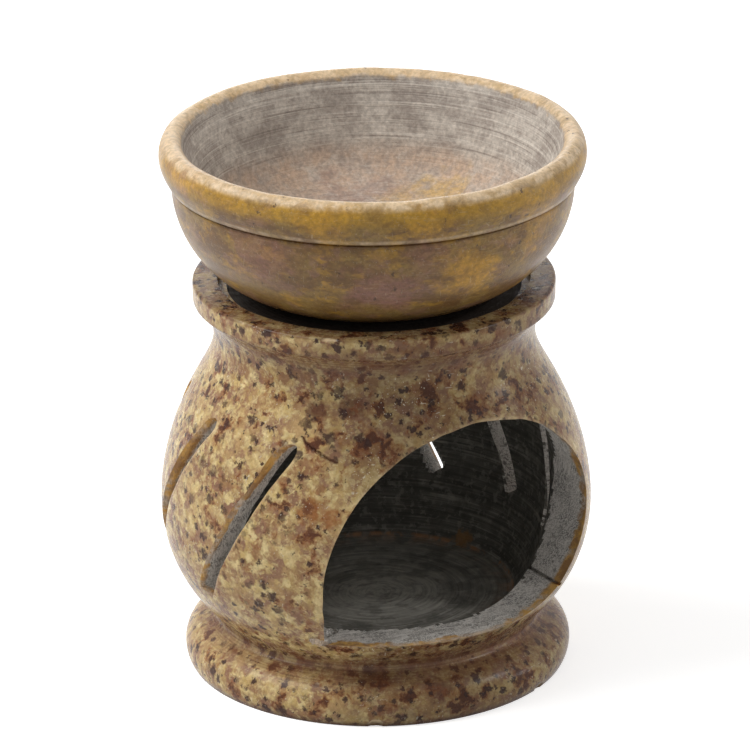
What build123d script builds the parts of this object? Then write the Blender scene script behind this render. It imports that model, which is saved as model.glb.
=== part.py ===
import os
from math import acos, asin, cos, degrees, radians, sin, sqrt, tan

from build123d import *

# Essential oil burner of turned soapstone: a hollow body with an arched window and a loose bowl on top.
# Millimetres, +Z up, origin at the middle of the flat base, window facing -Y.

# Foot
foot_radius = 36.0
foot_base_radius = 35.1
foot_widest_height = 2.9
foot_shoulder_radius = 34.1
foot_shoulder_height = 6.9
waist_radius = 30.4
waist_height = 9.6

# Bulb, from the waist up to the neck
bulb_radius = 40.0
bulb_height = 31.5
bulb_lower_curve = 27.5
bulb_lower_drop = 19.3
shoulder_inset = 2.3
shoulder_radius = bulb_radius - shoulder_inset
shoulder_height = 45.2
neck_radius = 29.7
slope_spread = 3.6
slope_radius = neck_radius + slope_spread
slope_height = 55.3
neck_height = 64.6

# Collar, with the shelf that carries the bowl sunk in its mouth
collar_radius = 33.4
collar_height = 74.9
collar_thickness = 4.0
collar_edge_round = 0.6
mouth_radius = 28.8
mouth_depth = 1.35
throat_radius = 18.0
throat_length = 3.5

# Hollow of the body
wall = 7.1
hollow_widest_height = 35.5
floor_height = 12.4
hollow_sill_inset = 12.6
hollow_sill_radius = bulb_radius - hollow_sill_inset
floor_inset = 2.2
floor_radius = hollow_sill_radius - floor_inset
floor_dish = 0.8
neck_wall = 3.3
hollow_neck_radius = neck_radius - neck_wall
hollow_neck_height = 61.0

# Window, seen square on from the front
sill_height = 15.9
sill_left = 26.7
sill_flat_end = 4.0
sill_right = 19.2
sill_right_rise = 3.9
window_height = 40.4
window_left = 29.2
window_left_spring = 12.4
window_right = 27.7
window_right_spring = 20.6

# Leaning slots round the bulb
slot_width = 3.2
slot_length = 44.0
slot_height = 38.3
slot_lean = 30.0
slot_end_slope = 30.0
slots_each_side = 3
first_slot_angle = 73.3
slot_pitch = 33.2

# Bowl
bowl_radius = 36.95
bowl_belly_curve = 20.6
bowl_base_radius = 20.4
seat_clearance = 0.25
rim_radius = 39.1
rim_height = 8.1
rim_overhang = 0.55
rim_step = 0.6
rim_widest_height = 4.8
lip_radius = 36.9
lip_inner_radius = 34.9
lip_inner_drop = 1.3
well_depth = 20.8
well_wall_radius = 31.6
well_wall_depth = 10.4
well_corner_radius = 29.0
well_corner_depth = 16.2
well_floor_radius = 22.5
well_floor_rise = 1.0


def turned(edges):
    """Spin a half profile, drawn as radius and height, about the vertical axis."""
    return revolve(Plane.XZ * make_face(edges), Axis.Z)


def body_blank():
    """Outside of the body as it leaves the lathe: foot, waist, bulb, neck and collar."""
    base = (foot_base_radius, 0)
    foot_shoulder = (foot_shoulder_radius, foot_shoulder_height)
    neck = (neck_radius, neck_height)
    collar_underside = collar_height - collar_thickness
    edge_centre = collar_radius - collar_edge_round
    lower_angle = degrees(asin(bulb_lower_drop / bulb_lower_curve))

    foot = ThreePointArc(base, (foot_radius, foot_widest_height), foot_shoulder)
    lower = CenterArc((bulb_radius - bulb_lower_curve, bulb_height), bulb_lower_curve, -lower_angle, lower_angle)
    waist = Spline(
        foot_shoulder,
        (waist_radius, waist_height),
        lower @ 0,
        tangents=(foot % 1, lower % 0),
    )
    upper = Spline(
        lower @ 1,
        (shoulder_radius, shoulder_height),
        (slope_radius, slope_height),
        neck,
        tangents=((0, 1), (0, 1)),
    )
    cove = TangentArc(neck, (edge_centre, collar_underside), tangent=(0, 1))
    under_round = CenterArc((edge_centre, collar_underside + collar_edge_round), collar_edge_round, -90, 90)
    top_round = CenterArc((edge_centre, collar_height - collar_edge_round), collar_edge_round, 0, 90)
    band = Line(under_round @ 1, top_round @ 0)
    top = Polyline(top_round @ 1, (0, collar_height), (0, 0), base)
    return turned([foot, waist, lower, upper, cove, under_round, band, top_round, top])


def shelf_height():
    """Height of the flat shelf in the mouth of the collar, where the throat begins."""
    return collar_height - mouth_depth


def body_hollow():
    """Candle chamber, throat and shelf, taken out through the mouth of the collar."""
    floor_edge = (floor_radius, floor_height)
    throat_top = (throat_radius, shelf_height())
    throat_base = (throat_radius, shelf_height() - throat_length)
    shelf_edge = (mouth_radius, shelf_height())
    centre = (0, floor_height - floor_dish)

    floor = TangentArc(centre, floor_edge, tangent=(1, 0))
    side = Spline(
        floor_edge,
        (hollow_sill_radius, sill_height),
        (bulb_radius - wall, hollow_widest_height),
        (hollow_neck_radius, hollow_neck_height),
        throat_base,
    )
    clear_height = collar_height + rim_height
    rest = Polyline(throat_base, throat_top, shelf_edge, (mouth_radius, clear_height), (0, clear_height), centre)
    return turned([floor, side, rest])


def window_cutter():
    """Hand-cut arch, taken straight through the front wall; its right foot is drawn in."""
    top = sill_height + window_height
    left_spring = sill_height + window_left_spring
    right_spring = sill_height + window_right_spring
    left_foot = (-sill_left, sill_height)
    right_foot = (sill_right, sill_height + sill_right_rise)
    left_haunch = (-0.70 * window_left, left_spring + 0.71 * (top - left_spring))
    right_haunch = (0.71 * window_right, right_spring + 0.65 * (top - right_spring))

    sill = Line(left_foot, (sill_flat_end, sill_height))
    sill_rise = TangentArc((sill_flat_end, sill_height), right_foot, tangent=(1, 0))
    arch = Spline(
        right_foot,
        (window_right, right_spring),
        right_haunch,
        (0, top),
        left_haunch,
        (-window_left, left_spring),
        left_foot,
    )
    start = Plane.XZ.offset(sill_height / 4)
    return extrude(start * make_face([sill, sill_rise, arch]), bulb_radius * 1.5)


def slot_cutter():
    """One slanting saw slot at the front; its ends draw together towards the hollow."""
    lean = radians(slot_lean)
    inner = throat_radius * 0.8
    outer = bulb_radius * 1.2
    half_middle = slot_length / 2
    draw = tan(radians(slot_end_slope))
    half_inner = half_middle - (bulb_radius - inner) * draw
    half_outer = half_middle + (outer - bulb_radius) * draw
    blade = Polyline(
        (inner, -half_inner),
        (outer, -half_outer),
        (outer, half_outer),
        (inner, half_inner),
        close=True,
    )
    plane = Plane(origin=(0, 0, slot_height), x_dir=(0, -1, 0), z_dir=(-cos(lean), 0, sin(lean)))
    return extrude(plane * make_face(blade), slot_width / 2, both=True)


def slot_angles():
    """Places of the slots: the same row down each side of the window, and one at the back."""
    angles = [180.0]
    for step in range(slots_each_side):
        angle = first_slot_angle + step * slot_pitch
        angles.extend([angle, -angle])
    return angles


def make_body():
    """Foot, bulb and collar in one stone, hollowed and pierced."""
    body = body_blank() - body_hollow() - window_cutter()
    slot = slot_cutter()
    for angle in slot_angles():
        body -= Rot(0, 0, angle) * slot
    return body


def bowl_belly_centre():
    """Radius and height of the middle of the belly curve, so that the flat base stands on the shelf."""
    centre_radius = bowl_radius - bowl_belly_curve
    base_inset = bowl_base_radius - centre_radius
    base_height = shelf_height() + seat_clearance
    return centre_radius, base_height + sqrt(bowl_belly_curve**2 - base_inset**2)


def make_bowl():
    """Loose bowl with a flat base, a round belly, a banded rim and a deep well."""
    centre_radius, centre_height = bowl_belly_centre()
    belly_angle = degrees(acos((bowl_base_radius - centre_radius) / bowl_belly_curve))
    rim_base = centre_height + rim_step
    rim_top = rim_base + rim_height
    well_floor = rim_top - well_depth
    rim_edge = (bowl_radius + rim_overhang, rim_base)
    lip = (lip_radius, rim_top)
    lip_inner = (lip_inner_radius, rim_top - lip_inner_drop)

    belly = CenterArc((centre_radius, centre_height), bowl_belly_curve, -belly_angle, belly_angle)
    step = Line(belly @ 1, rim_edge)
    rim = Spline(rim_edge, (rim_radius, rim_base + rim_widest_height), lip, tangents=((0.55, 1), (-1, 0)))
    lip_round = TangentArc(lip, lip_inner, tangent=(-1, 0))
    well = Spline(
        lip_inner,
        (well_wall_radius, rim_top - well_wall_depth),
        (well_corner_radius, rim_top - well_corner_depth),
        (well_floor_radius, well_floor + well_floor_rise),
        (0, well_floor),
        tangents=((-0.4, -1), (-1, 0)),
    )
    base_height = (belly @ 0).Y
    base = Polyline((0, well_floor), (0, base_height), belly @ 0)
    return turned([base, belly, step, rim, lip_round, well])


os.makedirs("parts", exist_ok=True)
export_step(make_body(), "parts/burner_body.step")
export_step(make_bowl(), "parts/oil_bowl.step")
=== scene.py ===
"""Turned soapstone oil burner: a pierced body and a loose bowl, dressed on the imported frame.

Sizes are in millimetres, with +Z up and the window facing -Y. Meshes are written in metres.
"""

import itertools
import logging
import math
from dataclasses import dataclass
from enum import Enum, IntEnum
from typing import Any, Sequence

import bmesh
import bpy
import numpy as np
from mathutils import Matrix, Vector

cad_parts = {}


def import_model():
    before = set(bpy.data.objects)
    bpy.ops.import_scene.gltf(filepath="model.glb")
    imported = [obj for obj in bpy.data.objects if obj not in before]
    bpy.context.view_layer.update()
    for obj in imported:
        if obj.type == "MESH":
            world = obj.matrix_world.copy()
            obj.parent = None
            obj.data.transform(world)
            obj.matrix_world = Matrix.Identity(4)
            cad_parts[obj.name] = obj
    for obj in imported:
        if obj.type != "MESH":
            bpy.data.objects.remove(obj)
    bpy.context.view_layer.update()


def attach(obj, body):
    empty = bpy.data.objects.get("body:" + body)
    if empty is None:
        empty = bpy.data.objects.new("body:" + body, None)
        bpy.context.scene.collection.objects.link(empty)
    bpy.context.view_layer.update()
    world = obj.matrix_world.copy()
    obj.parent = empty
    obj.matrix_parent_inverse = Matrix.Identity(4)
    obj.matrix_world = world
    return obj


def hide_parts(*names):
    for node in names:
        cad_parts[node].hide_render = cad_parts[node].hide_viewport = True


LOG = logging.getLogger("oil_burner")
MM = 0.001

Colour = tuple[float, float, float, float]
Flat = tuple[float, float]
Array = np.ndarray
Socket = bpy.types.NodeSocket
Piece = bpy.types.Object
Tree = bpy.types.NodeTree
Material = bpy.types.Material


class Node(Enum):
    """Names of the frame's nodes, with the body and the material slot of each."""

    BODY = ("burner_body", "body", "body_stone")
    BOWL = ("oil_bowl", "bowl", "bowl_stone")

    @property
    def node(self) -> str:
        """Name of the node in the frame."""
        return self.value[0]

    @property
    def rides_on(self) -> str:
        """Name of the body that carries the node."""
        return self.value[1]

    @property
    def slot(self) -> str:
        """Name of the record's material slot."""
        return self.value[2]


class Face(IntEnum):
    """Kinds of stone surface on the body, in the order of its materials."""

    SKIN = 0
    SAWN = 1
    HOLLOW = 2


class Field(str, Enum):
    """Names of the mesh attributes that the finishes read, all in millimetres or as a share."""

    SKIN_DEPTH = "skin_depth"
    CUT_GAP = "cut_gap"
    CHIP = "chip"
    CRACK = "crack"
    WELL = "well"


def tone(red: int, green: int, blue: int) -> Colour:
    """Turn a colour as it is seen, in steps of 255, into the linear colour that a shader takes.

    Args:
        red: Red step.
        green: Green step.
        blue: Blue step.

    Returns:
        The linear colour with full alpha.
    """
    seen = [step / 255.0 for step in (red, green, blue)]
    linear = [part / 12.92 if part <= 0.04045 else ((part + 0.055) / 1.055) ** 2.4 for part in seen]
    return (linear[0], linear[1], linear[2], 1.0)


def on_bearing(bearing: float, radius: float, height: float) -> Array:
    """Give the place at a bearing round the axis, counted from the front towards +X.

    Args:
        bearing: Bearing in degrees.
        radius: Distance from the axis.
        height: Height over the base.

    Returns:
        The point in millimetres.
    """
    turn = math.radians(bearing)
    return np.array([radius * math.sin(turn), -radius * math.cos(turn), height])


class StoneNoise:
    """Smooth seeded noise in space, for relief that no two stones share."""

    def __init__(self, seed: int) -> None:
        """Fill the table of lattice values from the seed."""
        self.table = np.random.default_rng(seed).random(4096) * 2.0 - 1.0

    def sample(self, points: Array, size: float) -> Array:
        """Read the noise at some points.

        Args:
            points: Points in millimetres, one per row.
            size: Width of one swell of the noise.

        Returns:
            One value from -1 to 1 for each point.
        """
        scaled = points / size
        cell = np.floor(scaled).astype(np.int64)
        part = scaled - cell
        part = part * part * (3.0 - 2.0 * part)
        total = np.zeros(len(points))
        for corner in itertools.product((0, 1), repeat=3):
            at = cell + np.array(corner)
            slot = (at[:, 0] * 73856093 ^ at[:, 1] * 19349663 ^ at[:, 2] * 83492791) & 4095
            weight = np.where(np.array(corner) == 1, part, 1.0 - part).prod(axis=1)
            total += self.table[slot] * weight
        return total


class Profile:
    """Flat stretches of an outline, each sampled at its own step and given with both ends."""

    @staticmethod
    def line(start: Flat, end: Flat, step: float) -> Array:
        """Sample a straight stretch."""
        count = max(2, math.ceil(math.dist(start, end) / step) + 1)
        return np.linspace(start, end, count)

    @staticmethod
    def arc(centre: Flat, radius: float, start: float, sweep: float, step: float) -> Array:
        """Sample an arc about a centre, from a start angle through a sweep, in degrees.

        Args:
            centre: Middle of the arc.
            radius: Its radius.
            start: Angle at which it starts.
            sweep: Angle that it goes through.
            step: Length of a step.

        Returns:
            Points along the arc.
        """
        count = max(3, math.ceil(abs(math.radians(sweep)) * radius / step) + 1)
        turn = np.radians(np.linspace(start, start + sweep, count))
        return np.column_stack([centre[0] + radius * np.cos(turn), centre[1] + radius * np.sin(turn)])

    @classmethod
    def arc_through(cls, start: Flat, middle: Flat, end: Flat, step: float) -> Array:
        """Sample the arc that runs through three points.

        Args:
            start: Where it starts.
            middle: A point on the way.
            end: Where it ends.
            step: Length of a step.

        Returns:
            Points along the arc.
        """
        first, second, third = (np.array(point, float) for point in (start, middle, end))
        rows = 2.0 * np.array([second - first, third - first])
        sums = np.array([second @ second - first @ first, third @ third - first @ first])
        centre = np.linalg.solve(rows, sums)
        return cls._arc_between(centre, first, second, third, step)

    @classmethod
    def arc_leaving(cls, start: Flat, heading: Flat, end: Flat, step: float) -> Array:
        """Sample the arc that leaves the start along a heading and arrives at the end.

        Args:
            start: Where it starts.
            heading: Direction in which it leaves.
            end: Where it ends.
            step: Length of a step.

        Returns:
            Points along the arc.
        """
        first, last = np.array(start, float), np.array(end, float)
        side = np.array([-heading[1], heading[0]], float)
        side /= np.linalg.norm(side)
        chord = last - first
        centre = first + side * (chord @ chord) / (2.0 * (chord @ side))
        middle = (first + last) / 2.0 - centre
        radius = np.linalg.norm(first - centre)
        bulge = centre + middle * radius / np.linalg.norm(middle)
        return cls._arc_between(centre, first, bulge, last, step)

    @classmethod
    def _arc_between(
        cls, centre: Array, first: Array, middle: Array, last: Array, step: float
    ) -> Array:
        """Sample the arc about a centre that goes from first to last by way of middle.

        Args:
            centre: Middle of the arc.
            first: First point.
            middle: A point on the way.
            last: Last point.
            step: Length of a step.

        Returns:
            Points along the arc.
        """
        radius = float(np.linalg.norm(first - centre))
        angles = [math.degrees(math.atan2(*(point - centre)[::-1])) for point in (first, middle, last)]
        sweep = (angles[2] - angles[0]) % 360.0
        if (angles[1] - angles[0]) % 360.0 > sweep:
            sweep -= 360.0
        return cls.arc((centre[0], centre[1]), radius, angles[0], sweep, step)

    @staticmethod
    def spline(
        knots: Sequence[Flat], step: float, leaving: Flat | None = None, arriving: Flat | None = None
    ) -> Array:
        """Sample a smooth curve through its knots.

        Args:
            knots: Points that the curve runs through.
            step: Distance between samples.
            leaving: Heading at the first knot, or free.
            arriving: Heading at the last knot, or free.

        Returns:
            The sampled points.
        """
        points = np.array(knots, float)
        gaps = np.linalg.norm(np.diff(points, axis=0), axis=1)
        runs = np.diff(points, axis=0) / gaps[:, None]
        size = len(points)
        rows, sums = np.zeros((size, size)), np.zeros((size, 2))
        for at in range(1, size - 1):
            before, after = 1.0 / gaps[at - 1], 1.0 / gaps[at]
            rows[at, at - 1 : at + 2] = before, 2.0 * (before + after), after
            sums[at] = 3.0 * (runs[at - 1] * before + runs[at] * after)
        for at, beside, heading in ((0, 1, leaving), (size - 1, size - 2, arriving)):
            rows[at, at] = 1.0
            if heading is None:
                rows[at, beside] = 0.5
                sums[at] = 1.5 * runs[min(at, beside)]
            else:
                sums[at] = np.array(heading, float) / math.hypot(*heading)
        slopes = np.linalg.solve(rows, sums)
        along = np.concatenate([[0.0], np.cumsum(gaps)])
        place = np.linspace(0.0, along[-1], max(3, math.ceil(along[-1] / step) + 1))
        span = np.clip(np.searchsorted(along, place, "right") - 1, 0, size - 2)
        gap = gaps[span][:, None]
        part = ((place - along[span]) / gaps[span])[:, None]
        ahead = part * part * (3.0 - 2.0 * part)
        return (
            points[span] * (1.0 - ahead)
            + points[span + 1] * ahead
            + slopes[span] * gap * part * (1.0 - part) ** 2
            + slopes[span + 1] * gap * part**2 * (part - 1.0)
        )

    @staticmethod
    def join(stretches: Sequence[Array]) -> Array:
        """Put stretches end to end, with each shared point kept once."""
        kept = [stretches[0]] + [stretch[1:] for stretch in stretches[1:]]
        return np.concatenate(kept)

    @staticmethod
    def nearest(points: Array, outline: Array) -> tuple[Array, Array]:
        """Measure how far points lie from an outline.

        Args:
            points: Flat points, one per row.
            outline: Outline of straight runs between its points.

        Returns:
            The distance of each point, and the number of its nearest run.
        """
        start, run = outline[:-1], np.diff(outline, axis=0)
        square = (run * run).sum(axis=1)
        gaps, picks = np.empty(len(points)), np.empty(len(points), int)
        for part in np.array_split(np.arange(len(points)), max(1, len(points) // 3000)):
            away = points[part, None, :] - start
            share = np.clip((away * run).sum(axis=2) / square, 0.0, 1.0)
            gap = np.linalg.norm(away - share[..., None] * run, axis=2)
            picks[part] = gap.argmin(axis=1)
            gaps[part] = gap.min(axis=1)
        return gaps, picks

    @staticmethod
    def left_normals(outline: Array) -> Array:
        """Give the unit normal on the left of each run of an outline.

        Args:
            outline: Points of the outline.

        Returns:
            A unit normal for each run.
        """
        run = np.diff(outline, axis=0)
        side = np.column_stack([-run[:, 1], run[:, 0]])
        return side / np.linalg.norm(side, axis=1)[:, None]


class MeshShop:
    """Makes meshes from rings and loops, and carves one out of another."""

    @staticmethod
    def lathe(name: str, rings: Array, segments: int) -> Piece:
        """Spin a closed half profile that starts and ends on the axis.

        Args:
            name: Name of the new object.
            rings: Radius and height of each ring, with the two poles at the ends.
            segments: Number of steps round the axis.

        Returns:
            The new object, in millimetres.
        """
        turn = np.linspace(0.0, 2.0 * math.pi, segments, endpoint=False)
        circle = np.column_stack([np.cos(turn), np.sin(turn)])
        inner = rings[1:-1]
        body = np.empty((len(inner), segments, 3))
        body[..., :2] = inner[:, None, :1] * circle[None]
        body[..., 2] = inner[:, 1][:, None]
        points = np.concatenate([body.reshape(-1, 3), [[0.0, 0.0, rings[0, 1]], [0.0, 0.0, rings[-1, 1]]]])
        here = np.arange(segments)
        beside = (here + 1) % segments
        faces: list[tuple[int, ...]] = []
        for row in range(len(inner) - 1):
            low, high = row * segments, (row + 1) * segments
            faces.extend(zip(low + here, low + beside, high + beside, high + here))
        last, first_pole = (len(inner) - 1) * segments, len(points) - 2
        faces.extend(zip(beside, here, itertools.repeat(first_pole)))
        faces.extend(zip(last + here, last + beside, itertools.repeat(first_pole + 1)))
        return MeshShop.add(name, points, faces)

    @staticmethod
    def loft(name: str, loops: Sequence[Array]) -> Piece:
        """Skin a row of closed loops and cap both ends.

        Args:
            name: Name of the new object.
            loops: Loops with the same number of points, in millimetres.

        Returns:
            The new object, in millimetres.
        """
        count = len(loops[0])
        faces: list[tuple[int, ...]] = [tuple(range(count)), tuple(range((len(loops) - 1) * count, len(loops) * count))]
        for row, at in itertools.product(range(len(loops) - 1), range(count)):
            low, high, after = row * count, (row + 1) * count, (at + 1) % count
            faces.append((low + at, low + after, high + after, high + at))
        made = MeshShop.add(name, np.concatenate(loops), faces)
        MeshShop.face_outward(made)
        return made

    @staticmethod
    def pebble(name: str, centre: Array, reach: Array, noise: StoneNoise) -> Piece:
        """Make a rough ball, used to knock a flake off an edge.

        Args:
            name: Name of the new object.
            centre: Middle of the ball.
            reach: Three half axes, one per row.
            noise: Noise that roughens it.

        Returns:
            The new object, in millimetres.
        """
        shape = bmesh.new()
        bmesh.ops.create_icosphere(shape, subdivisions=4, radius=1.0)
        ball = np.array([vertex.co for vertex in shape.verts])
        faces = [tuple(vertex.index for vertex in face.verts) for face in shape.faces]
        shape.free()
        rough = 1.0 + 0.05 * noise.sample(ball * 9.0 + centre, 4.0) + 0.03 * noise.sample(ball * 9.0 + centre, 1.7)
        return MeshShop.add(name, centre + (ball * rough[:, None]) @ reach, faces)

    @staticmethod
    def add(name: str, points: Array, faces: Sequence[Sequence[int]]) -> Piece:
        """Put a new mesh object into the scene.

        Args:
            name: Name of the object.
            points: The points.
            faces: Corners of each face.

        Returns:
            The new object.
        """
        mesh = bpy.data.meshes.new(name)
        mesh.from_pydata(points.tolist(), [], [tuple(map(int, face)) for face in faces])
        made = bpy.data.objects.new(name, mesh)
        bpy.context.scene.collection.objects.link(made)
        return made

    @staticmethod
    def face_outward(made: Piece) -> None:
        """Turn the faces of a closed mesh outward.

        Args:
            made: The mesh object.
        """
        shape = bmesh.new()
        shape.from_mesh(made.data)
        bmesh.ops.recalc_face_normals(shape, faces=shape.faces)
        shape.to_mesh(made.data)
        shape.free()

    @staticmethod
    def carve(stone: Piece, cutters: Sequence[Piece]) -> None:
        """Take the cutters out of the stone, one after the other, and throw them away."""
        for cutter in cutters:
            cut = stone.modifiers.new("carve", "BOOLEAN")
            cut.operation, cut.solver, cut.object = "DIFFERENCE", "MANIFOLD", cutter
            shown = stone.evaluated_get(bpy.context.evaluated_depsgraph_get())
            mesh = bpy.data.meshes.new_from_object(shown)
            stone.modifiers.clear()
            stone.data = mesh
            bpy.data.objects.remove(cutter)
        stone.data.materials.clear()

    @staticmethod
    def points_of(made: Piece) -> Array:
        """Read the points of a mesh.

        Args:
            made: The mesh object.

        Returns:
            The points.
        """
        flat = np.empty(len(made.data.vertices) * 3)
        made.data.vertices.foreach_get("co", flat)
        return flat.reshape(-1, 3)

    @staticmethod
    def move_points(made: Piece, points: Array) -> None:
        """Write the points of a mesh."""
        made.data.vertices.foreach_set("co", points.ravel())
        made.data.update()

    @staticmethod
    def store(made: Piece, name: Field, values: Array) -> None:
        """Keep one value for each point of a mesh, for a finish to read."""
        kept = made.data.attributes.new(name.value, "FLOAT", "POINT")
        kept.data.foreach_set("value", values.astype(np.float32))

    @staticmethod
    def finish(made: Piece, crease: float) -> None:
        """Turn a mesh into metres and shade it smooth between its creases, in degrees.

        Args:
            made: The mesh object.
            crease: Angle from which an edge is a crease.
        """
        MeshShop.move_points(made, MeshShop.points_of(made) * MM)
        made.data.shade_smooth()
        made.data.set_sharp_from_angle(angle=math.radians(crease))


class NodeGraph:
    """Short hand for placing and linking the nodes of one tree."""

    def __init__(self, tree: Tree) -> None:
        """Keep the tree that the nodes go into."""
        self.tree = tree

    def node(self, kind: str, inputs: dict[Any, Any] | None = None, **settings: Any) -> bpy.types.Node:
        """Place a node.

        Args:
            kind: Type name of the node.
            inputs: Sockets by name or number, with a value or another node's output.
            **settings: Properties of the node.

        Returns:
            The new node.
        """
        made = self.tree.nodes.new(kind)
        for name, value in settings.items():
            setattr(made, name, value)
        for name, value in (inputs or {}).items():
            self.feed(made.inputs[name], value)
        return made

    def feed(self, socket: Socket, value: Any) -> None:
        """Link an output into a socket, or set the socket to a plain value."""
        if isinstance(value, Socket):
            self.tree.links.new(value, socket)
        else:
            socket.default_value = value

    def math(self, operation: str, first: Any, second: Any = 0.0, clamp: bool = False) -> Socket:
        """Work out one sum of two values."""
        return self.node("ShaderNodeMath", {0: first, 1: second}, operation=operation, use_clamp=clamp).outputs[0]

    def times(self, first: Any, second: Any) -> Socket:
        """Multiply two values."""
        return self.math("MULTIPLY", first, second)

    def minus(self, first: Any, second: Any) -> Socket:
        """Take the second value from the first."""
        return self.math("SUBTRACT", first, second)

    def vector(self, operation: str, first: Any, second: Any) -> Socket:
        """Work out one sum of two vectors, or scale a vector by a value."""
        where = "Scale" if operation == "SCALE" else 1
        return self.node("ShaderNodeVectorMath", {0: first, where: second}, operation=operation).outputs[0]

    def combine(self, x: Any, y: Any, z: Any) -> Socket:
        """Put three values together as a vector."""
        return self.node("ShaderNodeCombineXYZ", {0: x, 1: y, 2: z}).outputs[0]

    def smooth(self, value: Any, low: Any, high: Any) -> Socket:
        """Rise smoothly from 0 at the low value to 1 at the high one."""
        ends = {"Value": value, "From Min": low, "From Max": high}
        return self.node("ShaderNodeMapRange", ends, interpolation_type="SMOOTHSTEP").outputs[0]

    def span(self, value: Any, low: float, high: float) -> Socket:
        """Stretch a value from 0 to 1 onto a plain range."""
        return self.node("ShaderNodeMapRange", {"Value": value, "To Min": low, "To Max": high}).outputs[0]

    def mix(self, amount: Any, under: Any, over: Any, blend: str = "MIX") -> Socket:
        """Lay one colour over another by an amount."""
        made = self.node("ShaderNodeMix", {0: amount, 6: under, 7: over}, data_type="RGBA", blend_type=blend)
        return made.outputs[2]

    def tint(self, under: Any, over: Any, mask: Any, share: float) -> Socket:
        """Lay one colour over another by a share of a mask."""
        return self.mix(self.times(mask, share), under, over)

    def read(self, name: Field) -> Socket:
        """Read a value that the mesh keeps at its points."""
        return self.node("ShaderNodeAttribute", attribute_name=name.value).outputs["Fac"]

    def place(self, tree: Tree, **inputs: Any) -> bpy.types.Node:
        """Place a node group with its own values.

        Args:
            tree: The node group.
            **inputs: Values by the sockets' names.

        Returns:
            The placed group.
        """
        made = self.node("ShaderNodeGroup", node_tree=tree)
        for name, value in inputs.items():
            self.feed(made.inputs[name.replace("_", " ").title()], value)
        return made


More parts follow.
